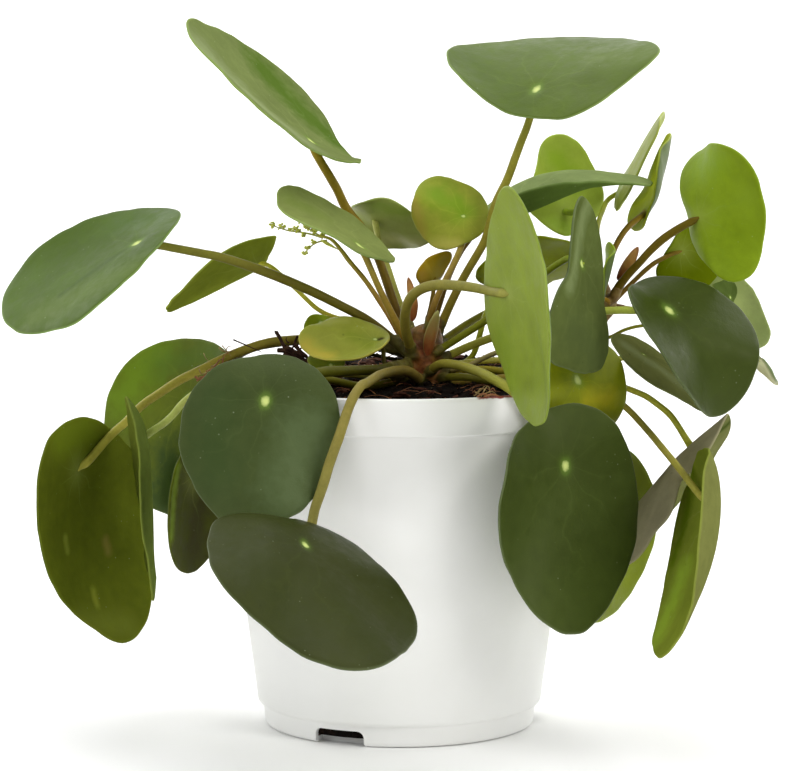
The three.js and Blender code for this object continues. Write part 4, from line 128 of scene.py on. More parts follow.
         [(-11.61, 9.38, 122.38), (-15.66, 11.53, 122.81), (-19.71, 13.75, 122.98), (-23.76, 16.02, 122.79), (-27.78, 18.34, 122.37), (-31.76, 20.75, 121.82), (-35.66, 23.32, 121.27), (-39.44, 26.09, 120.65), (-43.21, 28.81, 119.77), (-47.05, 31.52, 118.68), (-50.87, 34.6, 117), (-54.54, 37.99, 114.42), (-57.96, 39.94, 111.5), (-61.21, 40.82, 108.49), (-64.15, 41.81, 105.2), (-67.13, 42.67, 101.87), (-69.74, 42.57, 100.27), (-71.09, 42.41, 99.54)]),
    29: ([-105.6111, 8, 80.8998, 1.0413, -1.2796, -1.5519, 37.5899, 32.4325, 19.6661, 0.1691, 0.1804, -0.0178, -0.0358, -0.0028, -0.0485, 0.0359, 0.0313, 0.0301, 0.0036, 0.0125, -0.0193, 0.0047, 0.0072, -0.1007, -0.0479, -0.0411, -0.0091, -0.0146, 0.0344, 0.03, 0, 0, 0, 1],
         1.6, [(6.68, -4.04, 118.96), (2.72, -1.15, 120.09), (-0.07, 0.03, 120.94), (-2.73, 1.28, 121.76), (-5.45, 2.73, 122.43), (-8.26, 4.14, 122.94), (-11.12, 5.54, 123.36), (-12.18, 6.05, 123.49)],
         [(-12.57, 6.22, 123.53), (-17.01, 8.05, 123.91), (-21.63, 9.39, 123.97), (-26.37, 10.19, 123.71), (-31.12, 10.73, 123.31), (-35.89, 11.23, 122.99), (-40.64, 11.57, 122.45), (-45.31, 11.87, 121.4), (-49.86, 12.12, 119.87), (-54.32, 12.37, 118.13), (-58.68, 12.66, 116.15), (-62.93, 13.01, 113.95), (-67.25, 13.41, 111.89), (-71.5, 14, 109.74), (-75.44, 15.05, 107.21), (-79.24, 16.25, 104.55), (-83.07, 17.47, 101.91), (-86.53, 18.58, 98.8), (-89.74, 18.82, 95.32), (-93.13, 16.98, 92.5), (-96.21, 14.84, 89.51), (-98.97, 12.58, 86.29), (-101.82, 10.23, 83.24), (-104.04, 8.58, 81.64), (-105.18, 7.74, 80.9)]),
    30: ([-80.8118, -5, 90.644, -1.3838, -1.5785, -1.5929, 33.4722, 26.2019, 16.9364, 0.0732, 0.0965, -0.013, -0.008, -0.0526, 0.0166, -0.047, 0.0071, -0.0091, -0.0339, -0.0373, -0.0344, -0.03, -0.0045, 0.1244, 0.0881, -0.015, 0.0282, 0.0004, -0.0104, -0.0074, -0.0101, 0, 0, 1],
         1.3, [(6.6, -5.98, 114.3), (2.4, -8.92, 115.42), (-0.01, -10.36, 114.99), (-2.3, -12.3, 114.62), (-3.16, -13.13, 114.51)],
         [(-3.47, -13.41, 114.5), (-7.15, -16.61, 114.59), (-10.91, -19.66, 115.09), (-14.82, -22.46, 115.68), (-18.99, -24.8, 116.17), (-23.41, -26.59, 116.53), (-27.99, -27.91, 116.81), (-32.68, -28.78, 116.94), (-37.42, -29.19, 116.83), (-42.17, -29.14, 116.57), (-46.88, -28.65, 116.09), (-51.43, -27.55, 115.24), (-55.59, -25.61, 113.98), (-59.4, -23.27, 112.34), (-62.94, -20.78, 110.35), (-66.18, -18.19, 108.02), (-69.24, -15.95, 105.15), (-72, -14.1, 101.74), (-75.19, -12.4, 98.65), (-78.93, -11.01, 96.05), (-82.06, -8.93, 93.25), (-81.7, -6.4, 91.47), (-81.3, -5.1, 90.64)]),
    31: ([-64.8369, -37.7, 85.2951, 1.185, -1.4883, -1.357, 20.5146, 17.9414, 9.1397, 0.0799, 0.1594, 0.0357, -0.0422, -0.0034, 0.0847, -0.0081, 0.0282, 0, 0, 0, 0, 0, 0, 0, 0, 0, 0, 0, 0, 0, 0, 0, 0, 1],
         1.25, [(6.76, -6.21, 112.47), (3.04, -9.82, 113.59), (1.13, -12.32, 113.12), (-0.74, -14.12, 112.7), (-2.6, -16.39, 112.4), (-3.3, -17.36, 112.33)],
         [(-3.54, -17.7, 112.31), (-6.47, -21.66, 112.14), (-9.52, -25.5, 112.1), (-13.07, -28.77, 112.52), (-16.97, -31.37, 113.57), (-21.15, -33.31, 114.77), (-25.69, -34.24, 115.7), (-30.36, -34.09, 116.47), (-35.04, -33.6, 116.99), (-39.76, -33.35, 117.13), (-44.49, -33.14, 117.01), (-49.12, -33, 116.07), (-53.07, -33.07, 113.52), (-56.14, -33.3, 109.92), (-58.4, -33.67, 105.79), (-59.85, -34.17, 101.31), (-60.96, -34.97, 96.78), (-61.47, -36.29, 92.26), (-62.05, -37.17, 89.29), (-63.56, -37.73, 86.59), (-64.42, -37.98, 85.29)]),
    32: ([-7.8264, -14, 126.1184, -3.0414, 0.0083, -0.8489, 13.385, 10.8977, 9.2821, -0.0211, -0.0375, -0.0952, 0.1093, 0.0661, -0.0005, 0.0061, 0.0056, 0.0191, 0.0182, 0.0293, -0.0382, -0.0061, -0.0032, -0.0958, 0.1582, -0.0121, -0.0798, 0.0277, 0.0501, -0.0267, -0.0692, 0, 0, 1],
         0.8, [(6.84, -6.26, 113.78), (3.36, -10.06, 114.9), (1.71, -13.79, 114.53), (-0.03, -16.39, 114.05), (-1.96, -18.27, 114.34), (-3.86, -19.84, 116.1), (-4.85, -19.67, 118.44)],
         [(-4.85, -19.53, 118.83), (-5.24, -17.05, 122.74), (-6.25, -14.65, 122.4), (-7.38, -13.7, 124.35), (-7.87, -13.63, 125.79)]),
    33: ([-25.6338, 3, 129.1697, -2.3424, -1.4474, -0.4764, 5.6346, 5.1433, 2.2517, 0.0363, 0.0295, 0.0021, -0.0426, 0.013, 0.0175, 0.0401, -0.0092, -0.007, 0.0003, -0.0089, -0.0078, -0.0148, -0.0047, -0.0259, -0.1147, -0.0585, 0.0026, -0.0673, 0.0868, -0.1206, 0.0156, 0, 0, 1],
         0.6, [(6.68, -3.97, 116.03), (2.72, -0.87, 117.15), (1.57, -0.72, 117.37)],
         [(1.16, -0.66, 117.45), (-3.5, -0.05, 118.27), (-8.15, 0.57, 119.23), (-12.73, 1.24, 120.45), (-17.23, 2.36, 121.94), (-22.2, 3.99, 125.62), (-24.34, 3.77, 127.99), (-25.49, 3.48, 129.12)]),
    34: ([10.8209, 6, 144.5166, -1.8227, 1.1005, 0.8988, 6.3786, 6.436, 2.2352, -0.0815, 0.0265, -0.0195, -0.101, -0.0791, 0.114, -0.1137, 0.0708, 0.0056, 0.0327, 0.0467, -0.0043, 0.0005, -0.0105, -0.1878, 0.0261, 0.0801, -0.0567, 0.0352, -0.1391, -0.0147, -0.0603, 0, 0, 1],
         0.75, [(8.2, -3.56, 126.6), (8.79, 0.76, 129.91), (9.15, 1.35, 131.37), (9.54, 1.45, 132.85), (9.85, 1.72, 133.9)],
         [(9.95, 1.85, 134.29), (10.96, 4.2, 139.96), (11.16, 5.32, 142.85), (11.13, 5.63, 144.38)]),
    35: ([34.4967, 12, 146.3366, -0.0123, 0.229, -0.7731, 16.5591, 14.1063, 7.8919, 0.1077, -0.011, 0.0838, 0.0272, 0.0363, 0.0051, -0.0784, 0.0149, -0.0197, 0.0089, -0.0089, -0.0282, -0.0163, -0.0158, -0.0175, 0.025, 0.0454, -0.0132, -0.037, 0.0345, 0.0099, -0.0541, 0, 0, 1],
         0.95, [(9.64, -4.56, 114.34), (14.57, -3.23, 115.46), (15.63, -2.87, 115.69)],
         [(16.02, -2.74, 115.76), (20.37, -1.24, 116.63), (23.67, 0.29, 119.39), (25.25, 1.84, 123.5), (26.47, 3.38, 127.75), (27.73, 4.92, 131.99), (29.95, 6.35, 135.85), (32.03, 8.26, 139.55), (32.88, 10.07, 141.94), (33.98, 11.23, 144.61), (34.57, 11.65, 145.99)]),
    36: ([-21.9127, -10, 117.4611, 2.292, 0.5817, -0.3488, 5.7435, 5.4838, 2.5474, 0.0844, -0.001, 0.0723, 0.0248, -0.0633, 0.0678, -0.0036, -0.0517, 0, 0, 0, 0, 0, 0, 0, 0, 0, 0, 0, 0, 0, 0, 0, 0, 1],
         0.7, [(6.6, -6.02, 112.07), (2.4, -9.08, 113.19), (0.84, -8.86, 113.13), (-0.72, -8.86, 113.09), (-1.85, -8.9, 113.07)],
         [(-2.27, -8.91, 113.08), (-6.92, -9.07, 113.37), (-11.55, -9.03, 113.96), (-17.58, -8.58, 115.38), (-20.51, -9.22, 116.47), (-21.95, -9.69, 117.07)]),
    37: ([65.8045, -7, 139.7507, 1.0896, 1.259, 2.1177, 9.7818, 8.876, 6.4355, 0.0882, 0.0848, 0.0933, -0.1239, -0.015, -0.0183, 0.0422, 0.0282, -0.0105, -0.0342, 0.0354, -0.0085, 0.0027, 0.0316, -0.0149, 0.0274, 0.0375, 0.0131, -0.0268, 0.0149, -0.0598, 0.005, 0, 0, 1],
         0.7, [(67.78, 0.54, 136.38), (67.72, -1.05, 136.26), (66.77, -2.53, 137.03), (66.14, -3.1, 137.47)],
         [(65.81, -3.32, 137.61), (64.77, -4.04, 138.05), (64.6, -6.04, 139.24), (65.31, -7.02, 139.83)]),
}
FLOWER = (0.85, [(6.45, -5.39, 122.08), (1.82, -6.55, 123.21), (1.08, -5.82, 124.52), (0.32, -5.58, 125.86), (-0.24, -5.5, 126.84)], [(-0.45, -5.48, 127.21), (-2.77, -5.2, 131.24), (-5.18, -4.72, 135.19), (-7.7, -4.04, 139.05), (-10.32, -3.14, 142.79), (-13.14, -1.91, 146.27), (-16.06, -0.43, 149.58), (-18.77, 1.01, 153.08), (-21.87, 2.12, 156.36), (-26.17, 3.24, 157.71)])
SCALES = {
    "bud_scale_left": [3.9899, -6, 131.3398, -2.1424, 1.3979, -3.0303, 7.2748, 1.7742, 6.2563, 0.05, 0.3, 0, 0, 0, 0, 0.05, 0, 0, 0, 0, 0, 0, 0, 0, 0, 0, 0, 0, 0, 0, 0, 0, 0, 1],
    "bud_scale_front": [9.0647, -11.9, 120.8581, -0.8559, 1.2438, 2.6831, 7.811, 2.0968, 6.7174, 0.05, 0.25, 0, 0, 0, 0, 0.05, 0, 0, 0, 0, 0, 0, 0, 0, 0, 0, 0, 0, 0, 0, 0, 0, 0, 1],
    "bud_scale_right": [70.439, 2.6, 143.632, -0.3492, 1.0199, 1.5195, 6.4644, 1.9355, 5.5593, 0.05, 0.2, 0, 0, 0, 0, 0.05, 0, 0, 0, 0, 0, 0, 0, 0, 0, 0, 0, 0, 0, 0, 0, 0, 0, 1],
}
SIDE_STEM = [(38.6, 8, 108.0), (44, 7.8, 113), (50, 7.5, 118.5), (60, 5, 126.5), (66.5, 2.5, 132.5), (68.3, 1.5, 138.5)]
STEM_X, STEM_Y = 8.0, -5.0

# looks of each leaf: upper face, underside, stalk near the stem, stalk near the blade (sRGB 0-255), roughness; leaf 8's
# pale upper face colour is painted sheen
LOOKS = {
    1: ((106, 118, 68), (127, 149, 74), (78, 56, 8), (140, 120, 26), 0.62),
    2: ((78, 97, 30), (132, 154, 89), (124, 108, 31), (142, 140, 49), 0.42),
    3: ((67, 90, 20), (125, 152, 84), (98, 86, 22), (118, 117, 42), 0.42),
    4: ((132, 142, 60), (134, 146, 48), (175, 154, 42), (202, 200, 65), 0.62),
    5: ((122, 133, 74), (131, 152, 82), (136, 106, 34), (160, 142, 62), 0.6),
    6: ((76, 94, 36), (151, 162, 86), (152, 148, 66), (178, 180, 96), 0.42),
    7: ((139, 146, 47), (119, 144, 72), (118, 88, 30), (148, 132, 58), 0.42),
    # leaf 8: the pale grey-green upper face colour is painted sheen
    8: ((124, 138, 88), (88, 110, 48), (92, 68, 10), (112, 86, 20), 0.62),
    9: ((81, 102, 43), (126, 143, 47), (116, 104, 36), (138, 136, 62), 0.42),
    10: ((86, 97, 50), (91, 102, 67), (109, 110, 18), (127, 144, 31), 0.62),
    11: ((78, 102, 34), (155, 175, 63), (110, 104, 14), (112, 130, 34), 0.42),
    12: ((126, 136, 46), (154, 165, 76), (123, 116, 25), (142, 152, 40), 0.42),
    13: ((73, 91, 33), (153, 164, 22), (118, 91, 21), (130, 108, 28), 0.42),
    14: ((74, 102, 28), (132, 156, 27), (92, 73, 7), (102, 86, 10), 0.42),
    15: ((70, 86, 15), (94, 108, 8), (100, 74, 10), (102, 82, 10), 0.62),
    16: ((51, 63, 14), (91, 102, 66), (166, 161, 60), (192, 207, 89), 0.42),
    17: ((100, 104, 58), (113, 123, 71), (208, 201, 90), (231, 231, 130), 0.62),
    18: ((76, 95, 33), (144, 158, 95), (114, 111, 11), (132, 146, 21), 0.42),
    19: ((74, 89, 40), (133, 146, 72), (128, 112, 44), (148, 146, 66), 0.62),
    20: ((76, 94, 38), (179, 177, 139), (128, 112, 44), (148, 146, 66), 0.42),
    21: ((136, 144, 16), (127, 134, 46), (145, 129, 75), (168, 167, 110), 0.42),
    22: ((61, 73, 28), (89, 100, 66), (131, 121, 41), (152, 158, 62), 0.42),
    23: ((103, 116, 5), (132, 154, 56), (101, 97, 24), (117, 127, 38), 0.42),
    24: ((98, 102, 58), (146, 140, 110), (165, 148, 45), (191, 192, 67), 0.62),
    25: ((112, 116, 62), (122, 134, 44), (154, 132, 52), (179, 171, 76), 0.62),
    26: ((60, 72, 35), (87, 99, 66), (70, 64, 11), (82, 85, 19), 0.42),
    27: ((45, 51, 11), (87, 98, 66), (126, 108, 48), (145, 141, 71), 0.42),
    28: ((85, 97, 14), (96, 107, 42), (60, 50, 14), (66, 64, 18), 0.42),
    29: ((47, 61, 8), (91, 100, 26), (144, 124, 45), (167, 161, 67), 0.62),
    30: ((98, 112, 50), (104, 114, 42), (154, 148, 67), (178, 190, 99), 0.62),
    31: ((51, 65, 15), (62, 66, 5), (89, 83, 12), (105, 110, 22), 0.5),
    32: ((148, 153, 59), (190, 178, 76), (58, 50, 10), (72, 66, 16), 0.42),
    33: ((145, 163, 25), (150, 148, 68), (37, 32, 7), (44, 45, 10), 0.42),
    34: ((71, 65, 23), (154, 126, 5), (84, 64, 14), (112, 92, 22), 0.42),
    35: ((57, 73, 26), (137, 149, 10), (139, 135, 28), (161, 176, 44), 0.42),
    36: ((112, 126, 28), (150, 146, 72), (128, 112, 44), (148, 146, 66), 0.42),
    37: ((76, 94, 36), (142, 165, 30), (137, 100, 23), (159, 129, 37), 0.42),
}
SIDE_LEAVES = (12, 13, 14, 15, 18, 19, 20, 37)

# soft patches on blades: the leaf's own tones, painted sheen and painted shade; ends of a line on the leaf (mm from the
# stalk), width, colour, strength, upper face or not
TONE_SHEEN_AND_SHADE_PATCHES = {
    # leaf 1: the pale grey-green strip is painted sheen
    1: [(38.8372, 24.0113, -2.7669, 16.203, 15, (133, 144, 101), 0.85, True),
         (37.3782, -18.5219, 5.1502, -23.76, 13, (78, 103, 35), 0.9, True)],
    2: [(19.918, -13.1589, 21.6104, -28.3485, 9, (88, 107, 37), 0.6, True),
         (5.4605, 26.3623, -8.218, 1.9413, 10, (67, 88, 22), 0.45, True)],
    3: [(37.2231, 13.9581, -2.4621, 17.5108, 9, (83, 104, 34), 0.75, True),
         (27.5493, 9.6894, -1.4192, -0.1102, 1.8, (52, 76, 13), 0.55, True),
         (8.3962, -17.318, -7.8305, -13.1061, 8, (59, 88, 14), 0.5, True)],
    5: [(24.4884, 10.2897, 16.1706, 3.7049, 6, (114, 131, 60), 0.5, True)],
    6: [(4.3893, 7.4473, 17.0358, 4.1051, 4.5, (186, 189, 127), 0.7, False),
         (-0.1101, -6.4638, 8.5949, -7.9859, 5, (130, 159, 55), 0.6, False)],
    7: [(16.59, 0.7556, 10.9083, 10.1286, 3.2, (162, 147, 61), 0.7, True),
         (7.1627, 11.4327, -0.7835, 9.9116, 3.4, (179, 172, 80), 0.7, True),
         (11.1458, -3.8945, 1.1664, -1.6531, 7, (112, 147, 25), 0.8, True)],
    9: [(20.4305, 3.2103, 35.6587, 23.0822, 2.8, (115, 132, 54), 0.7, False),
         (-2.547, 16.6816, 5.8468, 33.3471, 8, (119, 144, 36), 0.4, False)],
    # leaf 10: the pale strip along its edge is painted sheen
    10: [(-18.6927, 8.4248, 5.8448, -11.7521, 4.5, (118, 131, 84), 0.85, True),
         (19.8572, -9.1591, 30.8518, 8.1758, 10, (74, 85, 48), 0.5, True)],
    11: [(17.6921, -2.9868, 10.5928, 3.7391, 6, (142, 176, 32), 0.6, False),
         (-4.5226, -3.134, -6.7217, 1.2379, 5, (142, 176, 37), 0.5, False)],
    14: [(4.5442, -15.7985, 16.5754, -13.7084, 8, (138, 171, 30), 0.4, False),
         (20.5747, -1.949, 16.2726, 13.6846, 6, (143, 168, 36), 0.4, False)],
    16: [(2.4991, 15.2516, 19.0059, 12.7221, 12, (57, 69, 21), 0.6, True)],
    17: [(-6.8781, -2.8977, 14.5389, -6.0325, 4, (126, 134, 91), 0.6, True)],
    21: [(7.9985, -1.8351, 15.3475, 6.6623, 5, (183, 174, 14), 0.8, True),
         (-5.6544, -1.8437, 1.2167, 6.4503, 6, (107, 121, 12), 0.6, True)],
    # leaf 24: the wide grey patch is painted sheen
    24: [(-10.2452, 10.7939, 28.8173, -19.3925, 2.6, (56, 70, 25), 0.9, True),
         (-2.7337, 17.1409, 11.9765, 21.9766, 8, (121, 122, 80), 0.4, True)],
    25: [(-12.8357, 10.4416, 11.8999, 25.6721, 5, (95, 117, 12), 0.8, False),
         (38.2266, 20.557, 19.3289, 16.4722, 9, (147, 173, 54), 0.85, False)],
    # leaf 26: the greyish patch (84, 99, 63) is painted sheen
    26: [(6.6112, 13.9491, 26.0028, 12.0502, 13, (84, 99, 63), 0.85, True),
         (2.2645, -15.488, 23.329, -11.3526, 12, (49, 69, 31), 0.5, True)],
    27: [(5.3702, 6.4204, 19.9511, 16.1614, 14, (49, 53, 12), 0.5, True),
         (9.155, -21.8521, 30.8715, -14.4577, 14, (41, 50, 8), 0.4, True)],
    # leaf 28: the wide dark patch (46, 66, 11) is painted shade under leaf 26
    28: [(-5.9623, -20.1964, 12.2276, -23.1983, 12, (103, 130, 20), 0.95, True),
         (20.7769, 4.5933, 38.9655, 6.6338, 15, (46, 66, 11), 1, True),
         (-5.3111, -15.5565, -18.456, 0, 8, (68, 98, 9), 0.5, True)],
    29: [(-13.3401, 6.2325, -11.6829, -6.633, 10, (110, 126, 29), 0.6, False),
         (28.8198, -7.6716, 32.5736, -7.3119, 2.6, (128, 116, 55), 0.7, False),
         (19.0622, 12.128, 23.103, 13.2623, 2.2, (135, 144, 55), 0.7, False),
         (40.7222, 6.5817, 44.46, 8.0816, 2.6, (140, 146, 51), 0.7, False),
         (43.5769, 21.3632, 55.6414, 0, 7, (115, 124, 46), 0.5, False)],
    31: [(-4.8301, 10.6317, 15.9363, 16.2339, 3.6, (106, 128, 12), 0.9, False),
         (7.0469, -4.1694, 23.0348, 1.9671, 9, (43, 39, 4), 0.8, False)],
    32: [(22.4943, 1.5663, 15.2779, 7.7858, 4.2, (185, 169, 65), 0.9, True),
         (7.7884, -1.7696, 2.2366, 1.4787, 4.5, (130, 144, 42), 0.7, True),
         (-1.258, 0.2207, -2.2838, 0, 1.1, (59, 46, 23), 1, True),
         (13.8731, -7.5324, 8.962, -8.4124, 2.4, (168, 169, 83), 0.6, True)],
    34: [(5.5533, -5.5429, -0.9998, -3.5376, 2.2, (174, 130, 9), 0.25, False),
         (5.4815, 2.926, 2.7821, 5.3168, 4, (143, 137, 6), 0.25, False)],
}

# ------------------------------------------------------------------ small helpers
def lin(c):
    out = []
    for v in c:
        v = v / 255.0
        out.append(v / 12.92 if v <= 0.04045 else ((v + 0.055) / 1.055) ** 2.4)
    return out


def rgba(c):
    return (*lin(c), 1.0)


def new_object(name, verts, faces, smooth=True):
    me = bpy.data.meshes.new(name)
    me.from_pydata([tuple(map(float, v)) for v in verts], [], [tuple(map(int, f)) for f in faces])
    me.update()
    if smooth:
        me.polygons.foreach_set("use_smooth", [True] * len(me.polygons))
    ob = bpy.data.objects.new(name, me)
    bpy.context.scene.collection.objects.link(ob)
    return ob


def attr(ob, name, values, kind="FLOAT"):
    a = ob.data.attributes.new(name, kind, "POINT")
    v = np.asarray(values, np.float32)
    a.data.foreach_set("vector" if kind == "FLOAT_VECTOR" else "value", v.ravel())


def finish_piece(ob, slot, *nodes):
    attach(ob, "root")
    if nodes:
        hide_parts(*nodes)
    return ob


_perm = np.random.default_rng(7).integers(0, 2 ** 31 - 1, 4096)


def vnoise(p, seed=0):
    """smooth value noise of points [n,3], about -1..1"""
    p = np.asarray(p, float)
    i = np.floor(p).astype(np.int64)
    f = p - i
    f = f * f * (3 - 2 * f)
    out = np.zeros(len(p))
    for dx in (0, 1):
        for dy in (0, 1):
            for dz in (0, 1):
                h = _perm[(i[:, 0] + dx) & 4095]
                h = _perm[(h + i[:, 1] + dy) & 4095]
                h = _perm[(h + i[:, 2] + dz + seed * 101) & 4095]
                w = (f[:, 0] if dx else 1 - f[:, 0]) * (f[:, 1] if dy else 1 - f[:, 1]) * (f[:, 2] if dz else 1 - f[:, 2])
                out += w * ((h % 20001) / 10000.0 - 1)
    return out


def catmull(C, step):
    """centripetal Catmull-Rom through C, resampled to about step"""
    C = np.array(C, float)
    if len(C) == 2:
        P = C
    else:
        E = np.r_[[2 * C[0] - C[1]], C, [2 * C[-1] - C[-2]]]
        out = []
        for i in range(1, len(E) - 2):
            p0, p1, p2, p3 = E[i - 1:i + 3]
            t0 = 0.0
            t1 = t0 + max(1e-6, np.linalg.norm(p1 - p0)) ** .5
            t2 = t1 + max(1e-6, np.linalg.norm(p2 - p1)) ** .5
            t3 = t2 + max(1e-6, np.linalg.norm(p3 - p2)) ** .5
            for t in np.linspace(t1, t2, 12, endpoint=False):
                A1 = (t1 - t) / (t1 - t0) * p0 + (t - t0) / (t1 - t0) * p1
                A2 = (t2 - t) / (t2 - t1) * p1 + (t - t1) / (t2 - t1) * p2
                A3 = (t3 - t) / (t3 - t2) * p2 + (t - t2) / (t3 - t2) * p3
                B1 = (t2 - t) / (t2 - t0) * A1 + (t - t0) / (t2 - t0) * A2
                B2 = (t3 - t) / (t3 - t1) * A2 + (t - t1) / (t3 - t1) * A3
                out.append((t2 - t) / (t2 - t1) * B1 + (t - t1) / (t2 - t1) * B2)
        out.append(E[-2])
        P = np.array(out)
    d = np.r_[0, np.cumsum(np.linalg.norm(np.diff(P, axis=0), axis=1))]
    n = max(2, int(np.ceil(d[-1] / step)))
    s = np.linspace(0, d[-1], n + 1)
    return np.stack([np.interp(s, d, P[:, k]) for k in range(3)], 1), s


def frames(P):
    T = np.gradient(P, axis=0)
    T /= np.linalg.norm(T, axis=1, keepdims=True) + 1e-12
    up = np.array([0.0, 0, 1.0]) if abs(T[0][2]) < 0.9 else np.array([1.0, 0, 0])
    U = np.zeros_like(P)
    u = up - T[0] * (up @ T[0])
    U[0] = u / np.linalg.norm(u)
    for i in range(1, len(P)):
        u = U[i - 1] - T[i] * (U[i - 1] @ T[i])
        U[i] = u / np.linalg.norm(u)
    return T, U, np.cross(T, U)


def tube_mesh(P, R, sides=12, cap0=True, cap1=True, wob=0.0, seed=0):
    """vertices, faces and the index along the path of a closed tube"""
    T, U, V = frames(P)
    n = len(P)
    a = np.arange(sides) / sides * 2 * np.pi
    R = np.asarray(R, float)
    vs = (P[:, None] + R[:, None, None] * (np.cos(a)[None, :, None] * U[:, None] + np.sin(a)[None, :, None] * V[:, None])).reshape(-1, 3)
    if wob:
        rr = vs - np.repeat(P, sides, 0)
        vs = np.repeat(P, sides, 0) + rr * (1 + wob * vnoise(vs / 2.2, seed))[:, None]
    t = np.repeat(np.arange(n), sides)
    fs = []
    for i in range(n - 1):
        for j in range(sides):
            k = (j + 1) % sides
            fs.append((i * sides + j, i * sides + k, (i + 1) * sides + k, (i + 1) * sides + j))
    vs = list(vs)
    t = list(t)
    if cap0:
        vs.append(P[0] - T[0] * R[0] * 0.3)
        t.append(0)
        c = len(vs) - 1
        fs += [(c, (j + 1) % sides, j) for j in range(sides)]
    if cap1:
        vs.append(P[-1] + T[-1] * R[-1] * 0.3)
        t.append(n - 1)
        c = len(vs) - 1
        o = (n - 1) * sides
        fs += [(c, o + j, o + (j + 1) % sides) for j in range(sides)]
    return np.array(vs), fs, np.array(t)


# ------------------------------------------------------------------ leaf surface
def leaf_frame(q):
    az, el, ro = q[3:6]
    ca, sa, ce, se, cr, sr = math.cos(az), math.sin(az), math.cos(el), math.sin(el), math.cos(ro), math.sin(ro)
    x = np.array([ca * ce, sa * ce, se])
    y0 = np.array([-sa, ca, 0.0])
    z0 = np.cross(x, y0)
    y = y0 * cr + z0 * sr
    return np.stack([x, y, np.cross(x, y)], 1)


def leaf_points(q, ring, ang, extra=None):
    """upper face of a blade at ring and angle arrays, and its local coordinates"""
    a, b, off, s1, s2, tw, cu = q[6:13]
    h = np.ones_like(ang)
    lift = np.zeros_like(ang)
    for k in range(2, 7):
        h = h + q[13 + 2 * (k - 2)] * np.cos(k * ang) + q[14 + 2 * (k - 2)] * np.sin(k * ang)
    for k in range(1, 5):
        lift = lift + q[23 + 2 * (k - 1)] * np.cos(k * ang) + q[24 + 2 * (k - 1)] * np.sin(k * ang)
    if q[32]:
        d = (ang - q[31] + np.pi) % (2 * np.pi) - np.pi
        h = h - q[32] * np.exp(-(d / q[33]) ** 2)
    if extra is not None:
        h = h + extra[0]
        lift = lift + extra[1]
    X = ring * (off + a * np.cos(ang) * h)
    Y = ring * b * np.sin(ang) * h
    u, v = (X - off) / a, Y / b
    Z = a * (-s1 * u * u - s2 * v * v + tw * u * v + cu * v ** 3 + ring ** 2.5 * lift) + a * s1 * (off / a) ** 2
    L = np.stack([X, Y, Z], -1)
    return L @ leaf_frame(q).T + np.array(q[:3]), L


def blade_mesh(name, q, seed, rings=20, around=96, th=0.8, ripple=1.0):
    a = q[6]
    rng = np.random.default_rng(seed)
    ang = np.arange(around) / around * 2 * np.pi
    # slight scallops of the margin
    sc = np.zeros(around)
    rp = np.zeros(around)
    for k in range(7, 30):
        amp = 0.010 / (1 + (k - 7) * 0.2) * ripple
        sc += amp * 0.26 * rng.normal() * np.cos(k * ang + rng.uniform(0, 6.28))
        if k < 18:
            rp += amp * 0.2 * rng.normal() * np.cos(k * ang + rng.uniform(0, 6.28))
    d = 0.5 * th / a
    top = list(np.linspace(0, 1, rings + 1)[1:] ** 0.92 * (1 - d))
    prof = [(r, 0.0) for r in top] + [(1 - 0.3 * d, 0.17), (1.0, 0.5), (1 - 0.3 * d, 0.83)] + [(r, 1.0) for r in top[::-1]]
    n = len(prof)
    RR = np.array([p[0] for p in prof])[:, None] * np.ones(around)
    DD = np.array([p[1] for p in prof])[:, None] * np.ones(around)
    AA = np.ones((n, 1)) * ang
    fade = RR ** 5
    P, L = leaf_points(q, RR, AA, (sc * fade, rp * RR ** 3))
    # normals of the smooth surface by differences
    e = 0.02

    def at(x, y):
        return leaf_points(q, np.hypot(x, y), np.arctan2(y, x))[0]
    x, y = RR * np.cos(AA), RR * np.sin(AA)
    N = np.cross(at(x + e, y) - at(x - e, y), at(x, y + e) - at(x, y - e))
    N /= np.linalg.norm(N, axis=-1, keepdims=True)
    zl = leaf_frame(q)[:, 2]
    N *= np.sign((N @ zl))[..., None]
    # puckers between the veins, stronger towards the margin, and a dip over the stalk
    off = q[:3]
    pk = vnoise((P.reshape(-1, 3) * 0.17) + seed * 3.1, seed).reshape(n, around) * 0.7 + vnoise(P.reshape(-1, 3) * 0.38 + seed, seed + 5).reshape(n, around) * 0.3
    amp = 0.0075 * a * ripple
    dist = np.linalg.norm(L[..., :2], axis=-1)
    push = pk * amp * np.clip(RR * 1.15 - 0.12, 0, 1) - 0.55 * np.exp(-(dist / 2.6) ** 2) * (th > 0.7)
    Q = P + N * push[..., None] - N * (DD * th)[..., None]
    verts = list(Q.reshape(-1, 3))
    ring = list(RR.ravel())
    side = list((1 - DD).ravel())
    loc = list(L[..., :2].reshape(-1, 2))
    c0, _ = leaf_points(q, np.array([0.0]), np.array([0.0]))
    n0 = N[0].mean(0)
    n0 /= np.linalg.norm(n0)
    dip = 0.55 * (th > 0.7)
    verts.append(c0[0] - n0 * dip)
    ring.append(0.0); side.append(1.0); loc.append(np.zeros(2))
    verts.append(c0[0] - n0 * (dip + th))
    ring.append(0.0); side.append(0.0); loc.append(np.zeros(2))
    ct, cb = len(verts) - 2, len(verts) - 1
    fs = []
    for j in range(around):
        k = (j + 1) % around
        fs.append((ct, j, k))
        for i in range(n - 1):
            fs.append((i * around + j, (i + 1) * around + j, (i + 1) * around + k, i * around + k))
        o = (n - 1) * around
        fs.append((cb, o + k, o + j))
    return np.array(verts), fs, np.array(ring), np.array(side), np.array(loc), n0, c0[0]


